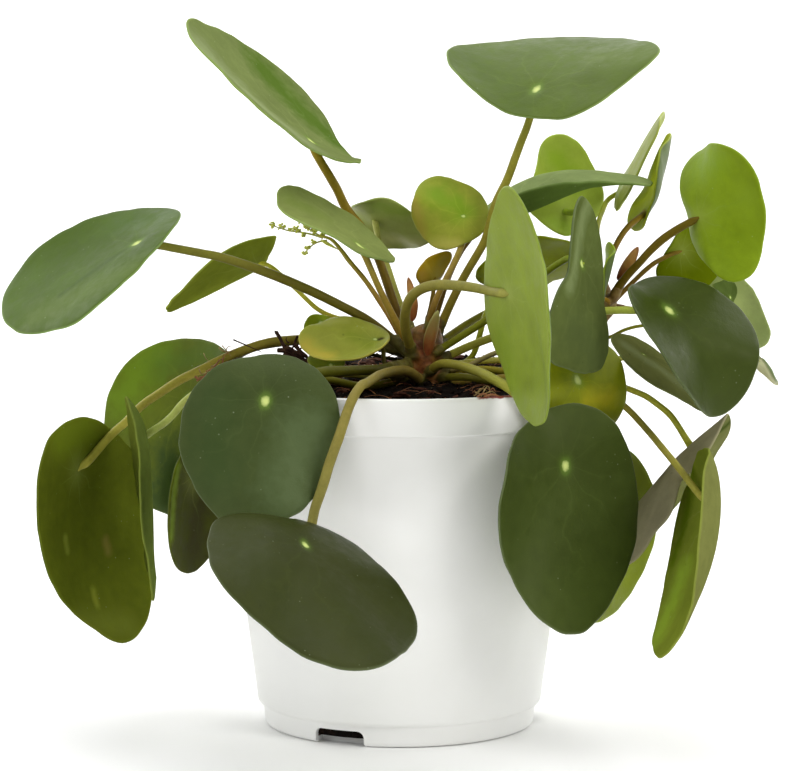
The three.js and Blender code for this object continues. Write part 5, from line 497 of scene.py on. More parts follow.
# ------------------------------------------------------------------ materials
def mat(name):
    m = bpy.data.materials.new(name)
    m.use_nodes = True
    nt = m.node_tree
    nt.nodes.clear()
    out = nt.nodes.new("ShaderNodeOutputMaterial")
    bs = nt.nodes.new("ShaderNodeBsdfPrincipled")
    nt.links.new(bs.outputs[0], out.inputs[0])
    return m, nt, bs


def node(nt, kind, **kw):
    n = nt.nodes.new(kind)
    for k, v in kw.items():
        if k.startswith("i_"):
            key = k[2:]
            n.inputs[int(key) if key.isdigit() else key].default_value = v
        else:
            setattr(n, k, v)
    return n


def math_node(nt, op, a, b=None, c=None, clamp=False):
    n = nt.nodes.new("ShaderNodeMath")
    n.operation = op
    n.use_clamp = clamp
    for i, v in enumerate((a, b, c)):
        if v is None:
            continue
        if isinstance(v, (int, float)):
            n.inputs[i].default_value = v
        else:
            nt.links.new(v, n.inputs[i])
    return n.outputs[0]


def mix_rgb(nt, fac, a, b, mode="MIX"):
    n = nt.nodes.new("ShaderNodeMix")
    n.data_type = "RGBA"
    n.blend_type = mode
    n.clamp_factor = True
    for key, v in ((0, fac), (6, a), (7, b)):
        if isinstance(v, (int, float)):
            n.inputs[key].default_value = v
        elif isinstance(v, (tuple, list)):
            n.inputs[key].default_value = v
        else:
            nt.links.new(v, n.inputs[key])
    return n.outputs[2]


def ramp(nt, fac, stops):
    n = nt.nodes.new("ShaderNodeValToRGB")
    cr = n.color_ramp
    while len(cr.elements) < len(stops):
        cr.elements.new(0.5)
    for e, (p, c) in zip(cr.elements, stops):
        e.position = p
        e.color = c if isinstance(c, (tuple, list)) else (c, c, c, 1)
    nt.links.new(fac, n.inputs[0])
    return n.outputs[0]


def noise(nt, vec, scale, detail=3, rough=0.55, dist=0.0):
    n = node(nt, "ShaderNodeTexNoise", i_Scale=scale, i_Detail=detail, i_Roughness=rough, i_Distortion=dist)
    nt.links.new(vec, n.inputs["Vector"])
    return n.outputs[0]


def blade_material(name, top, under, seed, rough=0.45, dot=(200, 212, 128), patches=(), dots=1.0):
    m, nt, bs = mat(name)
    pos = node(nt, "ShaderNodeTexCoord").outputs["Object"]
    ring = node(nt, "ShaderNodeAttribute", attribute_name="ring").outputs["Fac"]
    side = node(nt, "ShaderNodeAttribute", attribute_name="side").outputs["Fac"]
    loc = node(nt, "ShaderNodeAttribute", attribute_name="loc").outputs["Vector"]
    sep = nt.nodes.new("ShaderNodeSeparateXYZ")
    nt.links.new(loc, sep.inputs[0])
    # mottling: broad, medium and fine
    n1 = noise(nt, pos, 55, 3)
    n2 = noise(nt, pos, 260, 4)
    n3 = noise(nt, pos, 1500, 2)
    v = math_node(nt, "ADD", math_node(nt, "MULTIPLY", n1, 0.55), math_node(nt, "ADD", math_node(nt, "MULTIPLY", n2, 0.35), math_node(nt, "MULTIPLY", n3, 0.10)))
    shade = ramp(nt, v, [(0.3, 0.80), (0.5, 1.0), (0.72, 1.22)])
    base = mix_rgb(nt, side, rgba(under), rgba(top))
    col = mix_rgb(nt, 1.0, base, shade, "MULTIPLY")
    # broad soft areas: the leaf's own paler, browner or darker tones, painted sheen strips and painted shade between
    # leaves
    for (x0, y0, x1, y1, wide, c, strength, on_top) in patches:
        dx, dy = x1 - x0, y1 - y0
        qx = math_node(nt, "SUBTRACT", sep.outputs[0], x0)
        qy = math_node(nt, "SUBTRACT", sep.outputs[1], y0)
        dd = dx * dx + dy * dy
        if dd > 0.01:
            h = math_node(nt, "DIVIDE", math_node(nt, "ADD", math_node(nt, "MULTIPLY", qx, dx), math_node(nt, "MULTIPLY", qy, dy)), dd, clamp=True)
            qx = math_node(nt, "SUBTRACT", qx, math_node(nt, "MULTIPLY", h, dx))
            qy = math_node(nt, "SUBTRACT", qy, math_node(nt, "MULTIPLY", h, dy))
        away = math_node(nt, "SQRT", math_node(nt, "ADD", math_node(nt, "MULTIPLY", qx, qx), math_node(nt, "MULTIPLY", qy, qy)))
        away = math_node(nt, "ADD", away, math_node(nt, "MULTIPLY", math_node(nt, "SUBTRACT", n2, 0.5), wide * 1.1))
        f = ramp(nt, math_node(nt, "DIVIDE", away, wide), [(0.15, strength), (0.55, strength * 0.5), (1.0, 0.0)])
        f = math_node(nt, "MULTIPLY", f, side if on_top else math_node(nt, "SUBTRACT", 1.0, side))
        col = mix_rgb(nt, f, col, rgba(c))
    # faint radial veins from the stalk
    ang = math_node(nt, "ARCTAN2", sep.outputs[1], sep.outputs[0])
    wob = math_node(nt, "MULTIPLY", math_node(nt, "SUBTRACT", noise(nt, pos, 90, 2), 0.5), 0.9)
    a2 = math_node(nt, "ADD", ang, wob)
    s = math_node(nt, "ABSOLUTE", math_node(nt, "SINE", math_node(nt, "MULTIPLY", a2, 4.5)))
    vein = math_node(nt, "POWER", math_node(nt, "SUBTRACT", 1.0, s), 9.0)
    vein = math_node(nt, "MULTIPLY", vein, math_node(nt, "SUBTRACT", 1.0, ring, clamp=True))
    col = mix_rgb(nt, math_node(nt, "MULTIPLY", vein, 0.22), col, rgba([min(255, c * 1.3 + 18) for c in top]))
    # pale dot over the stalk
    dist = math_node(nt, "SQRT", math_node(nt, "ADD", math_node(nt, "POWER", math_node(nt, "MULTIPLY", sep.outputs[0], 0.72), 2.0), math_node(nt, "POWER", sep.outputs[1], 2.0)))
    dist = math_node(nt, "ADD", dist, math_node(nt, "MULTIPLY", math_node(nt, "SUBTRACT", noise(nt, pos, 700, 2), 0.5), 0.9))
    # a bright green halo with a pale core on top, a wider pale star below
    halo = ramp(nt, math_node(nt, "DIVIDE", dist, 6.0 * dots), [(0.14, 1.0), (0.28, 0.55), (0.42, 0.12), (0.6, 0.0)])
    core = ramp(nt, math_node(nt, "DIVIDE", dist, 6.0 * dots), [(0.07, 1.0), (0.15, 0.7), (0.24, 0.0)])
    col = mix_rgb(nt, math_node(nt, "MULTIPLY", math_node(nt, "MULTIPLY", halo, side), 0.6), col, rgba((112, 146, 54)))
    col = mix_rgb(nt, math_node(nt, "MULTIPLY", core, side), col, rgba(dot))
    below = math_node(nt, "SUBTRACT", 1.0, side)
    star = ramp(nt, math_node(nt, "DIVIDE", math_node(nt, "MULTIPLY", dist, math_node(nt, "SUBTRACT", 1.25, vein)), 9.0), [(0.1, 1.0), (0.3, 0.6), (0.7, 0.15), (1.0, 0.0)])
    col = mix_rgb(nt, math_node(nt, "MULTIPLY", math_node(nt, "MULTIPLY", star, below), 0.24), col, rgba((178, 190, 104)))
    # small pale and dark specks
    vo = node(nt, "ShaderNodeTexVoronoi", i_Scale=420.0, i_Randomness=1.0)
    nt.links.new(pos, vo.inputs["Vector"])
    sp = ramp(nt, vo.outputs["Distance"], [(0.0, 1.0), (0.07, 0.7), (0.13, 0.0)])
    pick = ramp(nt, noise(nt, pos, 130, 1), [(0.56, 0.0), (0.66, 1.0)])
    col = mix_rgb(nt, math_node(nt, "MULTIPLY", math_node(nt, "MULTIPLY", sp, pick), 0.3), col, rgba((190, 200, 170)))
    vo2 = node(nt, "ShaderNodeTexVoronoi", i_Scale=190.0, i_Randomness=1.0)
    nt.links.new(pos, vo2.inputs["Vector"])
    sp2 = ramp(nt, vo2.outputs["Distance"], [(0.0, 1.0), (0.05, 0.8), (0.1, 0.0)])
    pick2 = ramp(nt, noise(nt, pos, 75, 1), [(0.58, 0.0), (0.66, 1.0)])
    col = mix_rgb(nt, math_node(nt, "MULTIPLY", math_node(nt, "MULTIPLY", sp2, pick2), 0.45), col, rgba([c * 0.45 for c in top]))
    # thin pale line along the margin
    edge = ramp(nt, ring, [(0.982, 0.0), (0.995, 0.7), (1.0, 1.0)])
    col = mix_rgb(nt, math_node(nt, "MULTIPLY", edge, 0.3), col, rgba([min(255, c * 1.15 + 22) for c in under]))
    nt.links.new(col, bs.inputs["Base Color"])
    rr = ramp(nt, n2, [(0.3, rough - 0.03), (0.7, rough + 0.14)])
    nt.links.new(rr, bs.inputs["Roughness"])
    # leaves with roughness 0.58 or more reflect nothing; on some of them the sheen is painted into the face colours and
    # patches instead
    bs.inputs["Specular IOR Level"].default_value = 0.2 if rough < 0.58 else 0.0
    bs.inputs["Specular Tint"].default_value = (0.95, 1.0, 0.62, 1)
    b1 = node(nt, "ShaderNodeBump", i_Strength=0.22, i_Distance=0.0006)
    nt.links.new(noise(nt, pos, 330, 4), b1.inputs["Height"])
    b2 = node(nt, "ShaderNodeBump", i_Strength=0.18, i_Distance=0.0002)
    nt.links.new(noise(nt, pos, 1900, 2), b2.inputs["Height"])
    nt.links.new(b1.outputs[0], b2.inputs["Normal"])
    nt.links.new(b2.outputs[0], bs.inputs["Normal"])
    return m


def stalk_material(name, c0, c1, rough=0.42):
    m, nt, bs = mat(name)
    pos = node(nt, "ShaderNodeTexCoord").outputs["Object"]
    t = node(nt, "ShaderNodeAttribute", attribute_name="along").outputs["Fac"]
    n2 = noise(nt, pos, 240, 4)
    n3 = noise(nt, pos, 1200, 3)
    tt = math_node(nt, "ADD", t, math_node(nt, "MULTIPLY", math_node(nt, "SUBTRACT", n2, 0.5), 0.18))
    mid = [(x + y) / 2 for x, y in zip(c0, c1)]
    dark = [c * 0.62 for c in c0]
    dark[0] += 14
    col = ramp(nt, tt, [(0.0, rgba(dark)), (0.07, rgba(c0)), (0.5, rgba(mid)), (0.93, rgba(c1)), (1.0, rgba([min(255, c * 1.1 + 6) for c in c1]))])
    col = mix_rgb(nt, 1.0, col, ramp(nt, math_node(nt, "ADD", math_node(nt, "MULTIPLY", n2, 0.6), math_node(nt, "MULTIPLY", n3, 0.4)), [(0.3, 0.82), (0.7, 1.15)]), "MULTIPLY")
    nt.links.new(col, bs.inputs["Base Color"])
    nt.links.new(ramp(nt, n2, [(0.3, rough - 0.05), (0.7, rough + 0.12)]), bs.inputs["Roughness"])
    bs.inputs["Specular IOR Level"].default_value = 0.16
    bs.inputs["Specular Tint"].default_value = (1.0, 0.96, 0.7, 1)
    b = node(nt, "ShaderNodeBump", i_Strength=0.25, i_Distance=0.0003)
    nt.links.new(n3, b.inputs["Height"])
    nt.links.new(b.outputs[0], bs.inputs["Normal"])
    return m


def simple_material(name, stops, scale, rough=(0.5, 0.7), bump=0.3, bscale=600, bdist=0.0004, detail=4, spec=0.4):
    m, nt, bs = mat(name)
    pos = node(nt, "ShaderNodeTexCoord").outputs["Object"]
    n = noise(nt, pos, scale, detail)
    col = ramp(nt, n, [(p, rgba(c)) for p, c in stops])
    nt.links.new(col, bs.inputs["Base Color"])
    nt.links.new(ramp(nt, noise(nt, pos, scale * 1.7, 3), [(0.3, rough[0]), (0.7, rough[1])]), bs.inputs["Roughness"])
    b = node(nt, "ShaderNodeBump", i_Strength=bump, i_Distance=bdist)
    nt.links.new(noise(nt, pos, bscale, 4), b.inputs["Height"])
    nt.links.new(b.outputs[0], bs.inputs["Normal"])
    bs.inputs["Specular IOR Level"].default_value = spec
    return m


def pot_material():
    """plain white, with the terracotta tint of the inside showing over a short stretch of the lip"""
    m = simple_material("pot_white", [(0.2, (244, 244, 241)), (0.8, (250, 250, 248))], 40, (0.42, 0.52), 0.06, 900, 0.0002)
    nt = m.node_tree
    bs = [n for n in nt.nodes if n.type == "BSDF_PRINCIPLED"][0]
    old = bs.inputs["Base Color"].links[0].from_socket
    pos = node(nt, "ShaderNodeTexCoord").outputs["Object"]
    sep = nt.nodes.new("ShaderNodeSeparateXYZ")
    nt.links.new(pos, sep.inputs[0])
    wob = math_node(nt, "MULTIPLY", math_node(nt, "SUBTRACT", noise(nt, pos, 300, 3), 0.5), 0.0016)
    high = ramp(nt, math_node(nt, "MULTIPLY", math_node(nt, "ADD", math_node(nt, "SUBTRACT", sep.outputs[2], 0.1108), wob), 900.0), [(0.2, 0.0), (0.6, 1.0)])
    side = ramp(nt, math_node(nt, "ABSOLUTE", math_node(nt, "MULTIPLY", math_node(nt, "ADD", math_node(nt, "SUBTRACT", sep.outputs[0], 0.0305), wob), 100.0)), [(0.55, 1.0), (0.7, 0.0)])
    front = ramp(nt, math_node(nt, "MULTIPLY", sep.outputs[1], -100.0), [(0.4, 0.0), (0.6, 1.0)])
    f = math_node(nt, "MULTIPLY", math_node(nt, "MULTIPLY", high, side), front)
    nt.links.new(mix_rgb(nt, f, old, rgba((138, 52, 38))), bs.inputs["Base Color"])
    return m


def stem_material(name):
    """orange-brown bark on the column that turns olive on the stalk bases"""
    m, nt, bs = mat(name)
    pos = node(nt, "ShaderNodeTexCoord").outputs["Object"]
    ol = node(nt, "ShaderNodeAttribute", attribute_name="olive").outputs["Fac"]
    n = noise(nt, pos, 260, 6)
    n2 = noise(nt, pos, 700, 4)
    bark = ramp(nt, n, [(0.25, rgba((62, 26, 10))), (0.45, rgba((112, 54, 22))), (0.62, rgba((154, 88, 40))), (0.8, rgba((166, 124, 64)))])
    green = ramp(nt, n, [(0.25, rgba((60, 54, 18))), (0.5, rgba((92, 86, 32))), (0.8, rgba((120, 116, 50)))])
    f = math_node(nt, "ADD", ol, math_node(nt, "MULTIPLY", math_node(nt, "SUBTRACT", n2, 0.5), 0.7), clamp=True)
    nt.links.new(mix_rgb(nt, f, bark, green), bs.inputs["Base Color"])
    nt.links.new(ramp(nt, n2, [(0.3, 0.45), (0.7, 0.7)]), bs.inputs["Roughness"])
    bs.inputs["Specular IOR Level"].default_value = 0.3
    b = node(nt, "ShaderNodeBump", i_Strength=0.5, i_Distance=0.0004)
    nt.links.new(noise(nt, pos, 900, 4), b.inputs["Height"])
    nt.links.new(b.outputs[0], bs.inputs["Normal"])
    return m


def scale_material(name, tan=(142, 116, 58), tip=(132, 128, 62), rim_col=(166, 164, 96)):
    """papery scale: orange-brown at its foot, tan and olive towards the tip"""
    m, nt, bs = mat(name)
    pos = node(nt, "ShaderNodeTexCoord").outputs["Object"]
    t = node(nt, "ShaderNodeAttribute", attribute_name="along").outputs["Fac"]
    ring = node(nt, "ShaderNodeAttribute", attribute_name="ring").outputs["Fac"]
    n = noise(nt, pos, 420, 5)
    tt = math_node(nt, "ADD", t, math_node(nt, "MULTIPLY", math_node(nt, "SUBTRACT", n, 0.5), 0.45))
    col = ramp(nt, tt, [(0.0, rgba((128, 58, 24))), (0.3, rgba((150, 92, 42))), (0.6, rgba(tan)), (1.0, rgba(tip))])
    rim = ramp(nt, ring, [(0.86, 0.0), (0.97, 0.7)])
    col = mix_rgb(nt, rim, col, rgba(rim_col))
    nt.links.new(col, bs.inputs["Base Color"])
    bs.inputs["Roughness"].default_value = 0.62
    bs.inputs["Specular IOR Level"].default_value = 0.3
    b = node(nt, "ShaderNodeBump", i_Strength=0.4, i_Distance=0.0003)
    nt.links.new(noise(nt, pos, 1100, 4), b.inputs["Height"])
    nt.links.new(b.outputs[0], bs.inputs["Normal"])
    return m


M_POT = pot_material()
M_POT_IN = simple_material("pot_inside", [(0.3, (132, 60, 44)), (0.7, (150, 74, 54))], 60, (0.55, 0.7), 0.1, 700)
M_SOIL = simple_material("soil", [(0.25, (7, 5, 4)), (0.5, (18, 12, 8)), (0.75, (38, 26, 18))], 380, (0.9, 1.0), 0.9, 900, 0.0009, 6, 0.1)
M_CRUMB = simple_material("soil_crumb", [(0.25, (10, 7, 5)), (0.55, (27, 18, 12)), (0.8, (50, 34, 23))], 420, (0.9, 1.0), 0.8, 1500, 0.0005, 6, 0.1)
M_BARK = simple_material("bark_bits", [(0.25, (34, 16, 11)), (0.5, (66, 34, 22)), (0.8, (104, 62, 42))], 500, (0.75, 0.95), 0.8, 1600, 0.0004, 6, 0.15)
M_DARKTWIG = simple_material("dark_roots", [(0.25, (40, 24, 19)), (0.5, (70, 46, 37)), (0.8, (106, 76, 62))], 600, (0.7, 0.9), 0.6, 1600, 0.0003, 5, 0.2)
M_TAN = simple_material("tan_fibre", [(0.3, (122, 98, 52)), (0.7, (176, 150, 98))], 700, (0.6, 0.8), 0.3)
M_FIBRE = simple_material("coir_fibre", [(0.3, (118, 70, 42)), (0.7, (168, 112, 70))], 600, (0.6, 0.8), 0.3)
M_PERLITE = simple_material("perlite", [(0.3, (196, 190, 178)), (0.7, (228, 224, 214))], 700, (0.8, 0.95), 0.8, 1800)
M_STEM = stem_material("stem_bark")
M_SIDE = simple_material("side_stem_bark", [(0.25, (92, 62, 28)), (0.5, (124, 98, 44)), (0.8, (140, 128, 62))], 300, (0.45, 0.7), 0.5, 900, 0.0004, 5)
# leaves whose pale dot is small or faint
DOTS = {7: 0.35, 10: 0.7, 17: 0.3, 19: 0.35, 23: 0.6, 27: 0.8, 32: 0.35, 33: 0.5, 34: 0.5, 36: 0.5}

M_FLOWER = stalk_material("flower_stalk", (148, 100, 46), (152, 146, 50))
M_TWIG = simple_material("flower_branch", [(0.3, (158, 160, 70)), (0.7, (188, 190, 104))], 400, (0.5, 0.7), 0.3)
M_BUD = simple_material("buds", [(0.25, (180, 184, 54)), (0.5, (208, 212, 92)), (0.75, (228, 230, 134))], 500, (0.6, 0.8), 0.5, 1800)
M_SCALE = scale_material("papery_scale")
M_SCALE_TAN = scale_material("papery_scale_tan", (196, 146, 74), (178, 130, 72), (140, 84, 52))

# ------------------------------------------------------------------ pot
def make_pot():
    prof_out = [(0, 0), (20, 0), (41.2, 0), (42.4, 0.08), (43.2, 0.45), (43.6, 1.1), (43.75, 2.0), (44.05, 6.2), (44.3, 6.8), (45.4, 7.3), (45.85, 7.8), (46.0, 8.6)]
    for z in np.linspace(14, 99.2, 15):
        prof_out.append((45.85 + (58 - 45.85) * (z - 7.8) / (99.7 - 7.8), z))
    prof_out += [(58.1, 99.75), (59.0, 99.95), (59.3, 100.3), (59.35, 101.0), (59.6, 105.5), (59.93, 110.2), (59.96, 110.9), (59.8, 111.45), (59.4, 111.75), (58.9, 111.8)]
    prof_in = [(58.45, 111.68), (58.2, 111.3), (58.1, 110.6), (57.75, 102.2), (57.3, 100.9), (56.4, 99.4), (56.2, 98.4), (44.3, 8.4), (42.3, 6.8), (41.9, 1.85), (20, 1.8), (0, 1.8)]
    seg = 144
    vs, fs, mats = [], [], []
    rows = []
    prof = prof_out + prof_in
    for (r, z) in prof:
        if r == 0:
            rows.append([len(vs)])
            vs.append((0, 0, z))
        else:
            rows.append(list(range(len(vs), len(vs) + seg)))
            for j in range(seg):
                t = j / seg * 2 * math.pi
                vs.append((r * math.cos(t), r * math.sin(t), z))
    for i in range(len(rows) - 1):
        a, b = rows[i], rows[i + 1]
        inner = 1 if i >= len(prof_out) - 1 else 0
        for j in range(seg):
            k = (j + 1) % seg
            if len(a) == 1:
                fs.append((a[0], b[k], b[j]))
            elif len(b) == 1:
                fs.append((a[j], a[k], b[0]))
            else:
                fs.append((a[j], a[k], b[k], b[j]))
            mats.append(inner)
    ob = new_object("plastic_pot", np.array(vs) * MM, fs)
    ob.data.materials.append(M_POT)
    ob.data.materials.append(M_POT_IN)
    ob.data.polygons.foreach_set("material_index", mats)
    # drainage notches, cut with rounded corners
    for i in range(3):
        t = math.radians(-116 + i * 120)
        bm = bmesh.new()
        w, h, dpt = 8.5, 5.0, 6.0
        outline = [(-w, -2), (w, -2), (w, h - 2.2)]
        for s in range(1, 6):
            u = s / 6 * math.pi / 2
            outline.append((w - 2.2 + 2.2 * math.cos(u), h - 2.2 + 2.2 * math.sin(u)))
        outline.append((w - 2.2, h))
        outline.append((-w + 2.2, h))
        for s in range(1, 6):
            u = math.pi / 2 + s / 6 * math.pi / 2
            outline.append((-w + 2.2 + 2.2 * math.cos(u), h - 2.2 + 2.2 * math.sin(u)))
        outline.append((-w, h - 2.2))
        lo = [bm.verts.new(((43.8 - dpt) * MM, y * MM, z * MM)) for y, z in outline]
        hi = [bm.verts.new(((43.8 + dpt) * MM, y * MM, z * MM)) for y, z in outline]
        bm.faces.new(lo[::-1])
        bm.faces.new(hi)
        for j in range(len(lo)):
            k = (j + 1) % len(lo)
            bm.faces.new((lo[j], lo[k], hi[k], hi[j]))
        bmesh.ops.recalc_face_normals(bm, faces=bm.faces)
        bmesh.ops.rotate(bm, verts=bm.verts, cent=(0, 0, 0), matrix=Matrix.Rotation(t, 3, "Z"))
        me = bpy.data.meshes.new("cut")
        bm.to_mesh(me)
        bm.free()
        cut = bpy.data.objects.new("cut", me)
        bpy.context.scene.collection.objects.link(cut)
        md = ob.modifiers.new("notch", "BOOLEAN")
        md.operation = "DIFFERENCE"
        md.solver = "EXACT"
        md.object = cut
        bpy.context.view_layer.objects.active = ob
        bpy.ops.object.modifier_apply(modifier=md.name)
        bpy.data.objects.remove(cut)
    ob.data.polygons.foreach_set("use_smooth", [True] * len(ob.data.polygons))
    ob.data.set_sharp_from_angle(angle=math.radians(32))
    return finish_piece(ob, "pot_plastic", "pot")


# ------------------------------------------------------------------ soil
SOIL_LEVEL = 111.6


def soil_height(x, y):
    def s(t):
        t = np.clip(t, 0, 1)
        return t * t * (3 - 2 * t)
    return SOIL_LEVEL + 1.7 * s((y + 12) / 50) - 3.1 * s((-y - 13) / 36)


def make_soil():
    rings, around = 70, 200
    R = 57.9
    vs, fs = [(0, 0, 0)], []
    for i in range(1, rings + 1):
        r = R * i / rings
        for j in range(around):
            t = j / around * 2 * math.pi
            vs.append((r * math.cos(t), r * math.sin(t), 0))
    vs = np.array(vs, float)
    p = np.c_[vs[:, 0], vs[:, 1], np.zeros(len(vs))]
    z = soil_height(vs[:, 0], vs[:, 1]) - 0.6
    z += vnoise(p / 7.0, 1) * 0.7 + vnoise(p / 3.0, 2) * 0.6 + vnoise(p / 1.4, 3) * 0.4 + np.abs(vnoise(p / 0.8, 4)) * 0.25
    z += np.where(np.hypot(vs[:, 0], vs[:, 1]) > 52, -0.5, 0)
    vs[:, 2] = z
    for j in range(around):
        k = (j + 1) % around
        fs.append((0, 1 + j, 1 + k))
        for i in range(rings - 1):
            a, b = 1 + i * around, 1 + (i + 1) * around
            fs.append((a + j, b + j, b + k, a + k))
    # closed body down to the pot's bottom
    n0 = len(vs)
    wall = [(57.2, 103.0), (56.8, 101.0), (55.7, 98.9), (43.9, 8.8), (41.6, 7.0), (41.4, 2.3)]
    extra = []
    for (r, z_) in wall:
        for j in range(around):
            t = j / around * 2 * math.pi
            extra.append((r * math.cos(t), r * math.sin(t), z_))
    vs = np.r_[vs, np.array(extra), [[0, 0, 2.3]]]
    prev = 1 + (rings - 1) * around
    for i in range(len(wall)):
        cur = n0 + i * around
        for j in range(around):
            k = (j + 1) % around
            fs.append((prev + j, cur + j, cur + k, prev + k))
        prev = cur
    c = len(vs) - 1
    for j in range(around):
        fs.append((c, prev + (j + 1) % around, prev + j))
    ob = new_object("potting_soil", vs * MM, fs)
    ob.data.materials.append(M_SOIL)
    return finish_piece(ob, "soil", "soil")


def ico(sub=1):
    bm = bmesh.new()
    bmesh.ops.create_icosphere(bm, subdivisions=sub, radius=1.0)
    v = np.array([x.co for x in bm.verts])
    f = [[x.index for x in fa.verts] for fa in bm.faces]
    bm.free()
    return v, f


def rand_rot(rng):
    q = rng.normal(size=4)
    q /= np.linalg.norm(q)
    w, x, y, z = q
    return np.array([[1 - 2 * (y * y + z * z), 2 * (x * y - z * w), 2 * (x * z + y * w)], [2 * (x * y + z * w), 1 - 2 * (x * x + z * z), 2 * (y * z - x * w)], [2 * (x * z - y * w), 2 * (y * z + x * w), 1 - 2 * (x * x + y * y)]])


def make_bits():
    rng = np.random.default_rng(11)
    V, F, M = [], [], []
    n = 0

    def put(v, f, m):
        nonlocal n
        V.append(v)
        F.extend([tuple(i + n for i in fa) for fa in f])
        M.extend([m] * len(f))
        n += len(v)
    iv, if_ = ico(1)
    iv2, if2 = ico(2)
    for i in range(1500):
        r = 56.3 * math.sqrt(rng.uniform())
        t = rng.uniform(0, 2 * math.pi)
        x, y = r * math.cos(t), r * math.sin(t)
        if math.hypot(x - STEM_X, y - STEM_Y) < 6:
            continue
        s = rng.gamma(2.2, 0.28) + 0.25
        s = min(s, 1.5, 57.4 - r)
        v = iv * (1 + 0.35 * rng.normal(size=(len(iv), 1)) * 0.6)
        v = v * np.array([1, rng.uniform(0.6, 1), rng.uniform(0.5, 0.9)]) * s
        v = v @ rand_rot(rng).T
        z = float(soil_height(x, y)) - 0.4 + rng.uniform(-0.3, 0.5)
        put(v + [x, y, z], if_, 0)
    for i in range(110):
        r = 54 * math.sqrt(rng.uniform())
        t = rng.uniform(0, 2 * math.pi)
        x, y = r * math.cos(t), r * math.sin(t)
        if math.hypot(x - STEM_X, y - STEM_Y) < 7:
            continue
        s = np.array([rng.uniform(1.2, 3.8), rng.uniform(0.6, 1.4), rng.uniform(0.25, 0.6)])
        v = iv2 * s * (1 + 0.22 * rng.normal(size=(len(iv2), 1)))
        a = rng.uniform(0, math.pi * 2)
        R = np.array([[math.cos(a), -math.sin(a), 0], [math.sin(a), math.cos(a), 0], [0, 0, 1]]) @ np.array([[1, 0, 0], [0, math.cos(0.4), -math.sin(0.4)], [0, math.sin(0.4), math.cos(0.4)]])
        v = v @ R.T
        put(v + [x, y, float(soil_height(x, y)) + rng.uniform(-0.2, 0.7)], if2, 1)
    for i in range(14):
        r = 53 * math.sqrt(rng.uniform())
        t = rng.uniform(0, 2 * math.pi)
        x, y = r * math.cos(t), r * math.sin(t)
        s = rng.uniform(0.35, 0.8)
        v = iv2 * s * (1 + 0.12 * rng.normal(size=(len(iv2), 1)))
        put(v + [x, y, float(soil_height(x, y)) + 0.2], if2, 2)
    for i in range(170):
        r = 54 * math.sqrt(rng.uniform())
        t = rng.uniform(0, 2 * math.pi)
        x, y = r * math.cos(t), r * math.sin(t)
        z = float(soil_height(x, y)) + 0.3
        a = rng.uniform(0, 2 * math.pi)
        pts = [np.array([x, y, z])]
        up = rng.uniform(-0.15, 0.45)
        for s in range(4):
            a += rng.normal() * 0.5
            st = rng.uniform(1.2, 2.6)
            nx = pts[-1] + np.array([math.cos(a) * st, math.sin(a) * st, up * st])
            up -= rng.uniform(0, 0.3)
            if math.hypot(nx[0], nx[1]) > 56:
                break
            nx[2] = max(nx[2], float(soil_height(nx[0], nx[1])) + 0.1)
            pts.append(nx)
        if len(pts) < 3:
            continue
        P, _ = catmull(pts, 0.8)
        rad = rng.uniform(0.08, 0.17)
        v, f, _ = tube_mesh(P, np.linspace(rad, rad * 0.5, len(P)), 5)
        put(v, f, 3)
    # twigs, a needle and tufts of fibre that stand up where the photograph shows them
    for pts, rad, m in BITS_PLACED:
        P, _ = catmull(pts, 0.6)
        v, f, _ = tube_mesh(P, np.interp(np.linspace(0, 1, len(P)), [0, 0.6, 1], [rad, rad * 0.8, rad * 0.3]), 7, wob=0.25, seed=3)
        put(v, f, m)
    ob = new_object("soil_bits", np.concatenate(V) * MM, F, smooth=False)
    for m in (M_CRUMB, M_BARK, M_PERLITE, M_FIBRE, M_DARKTWIG, M_TAN):
        ob.data.materials.append(m)
    ob.data.polygons.foreach_set("material_index", M)
    return finish_piece(ob, "soil")


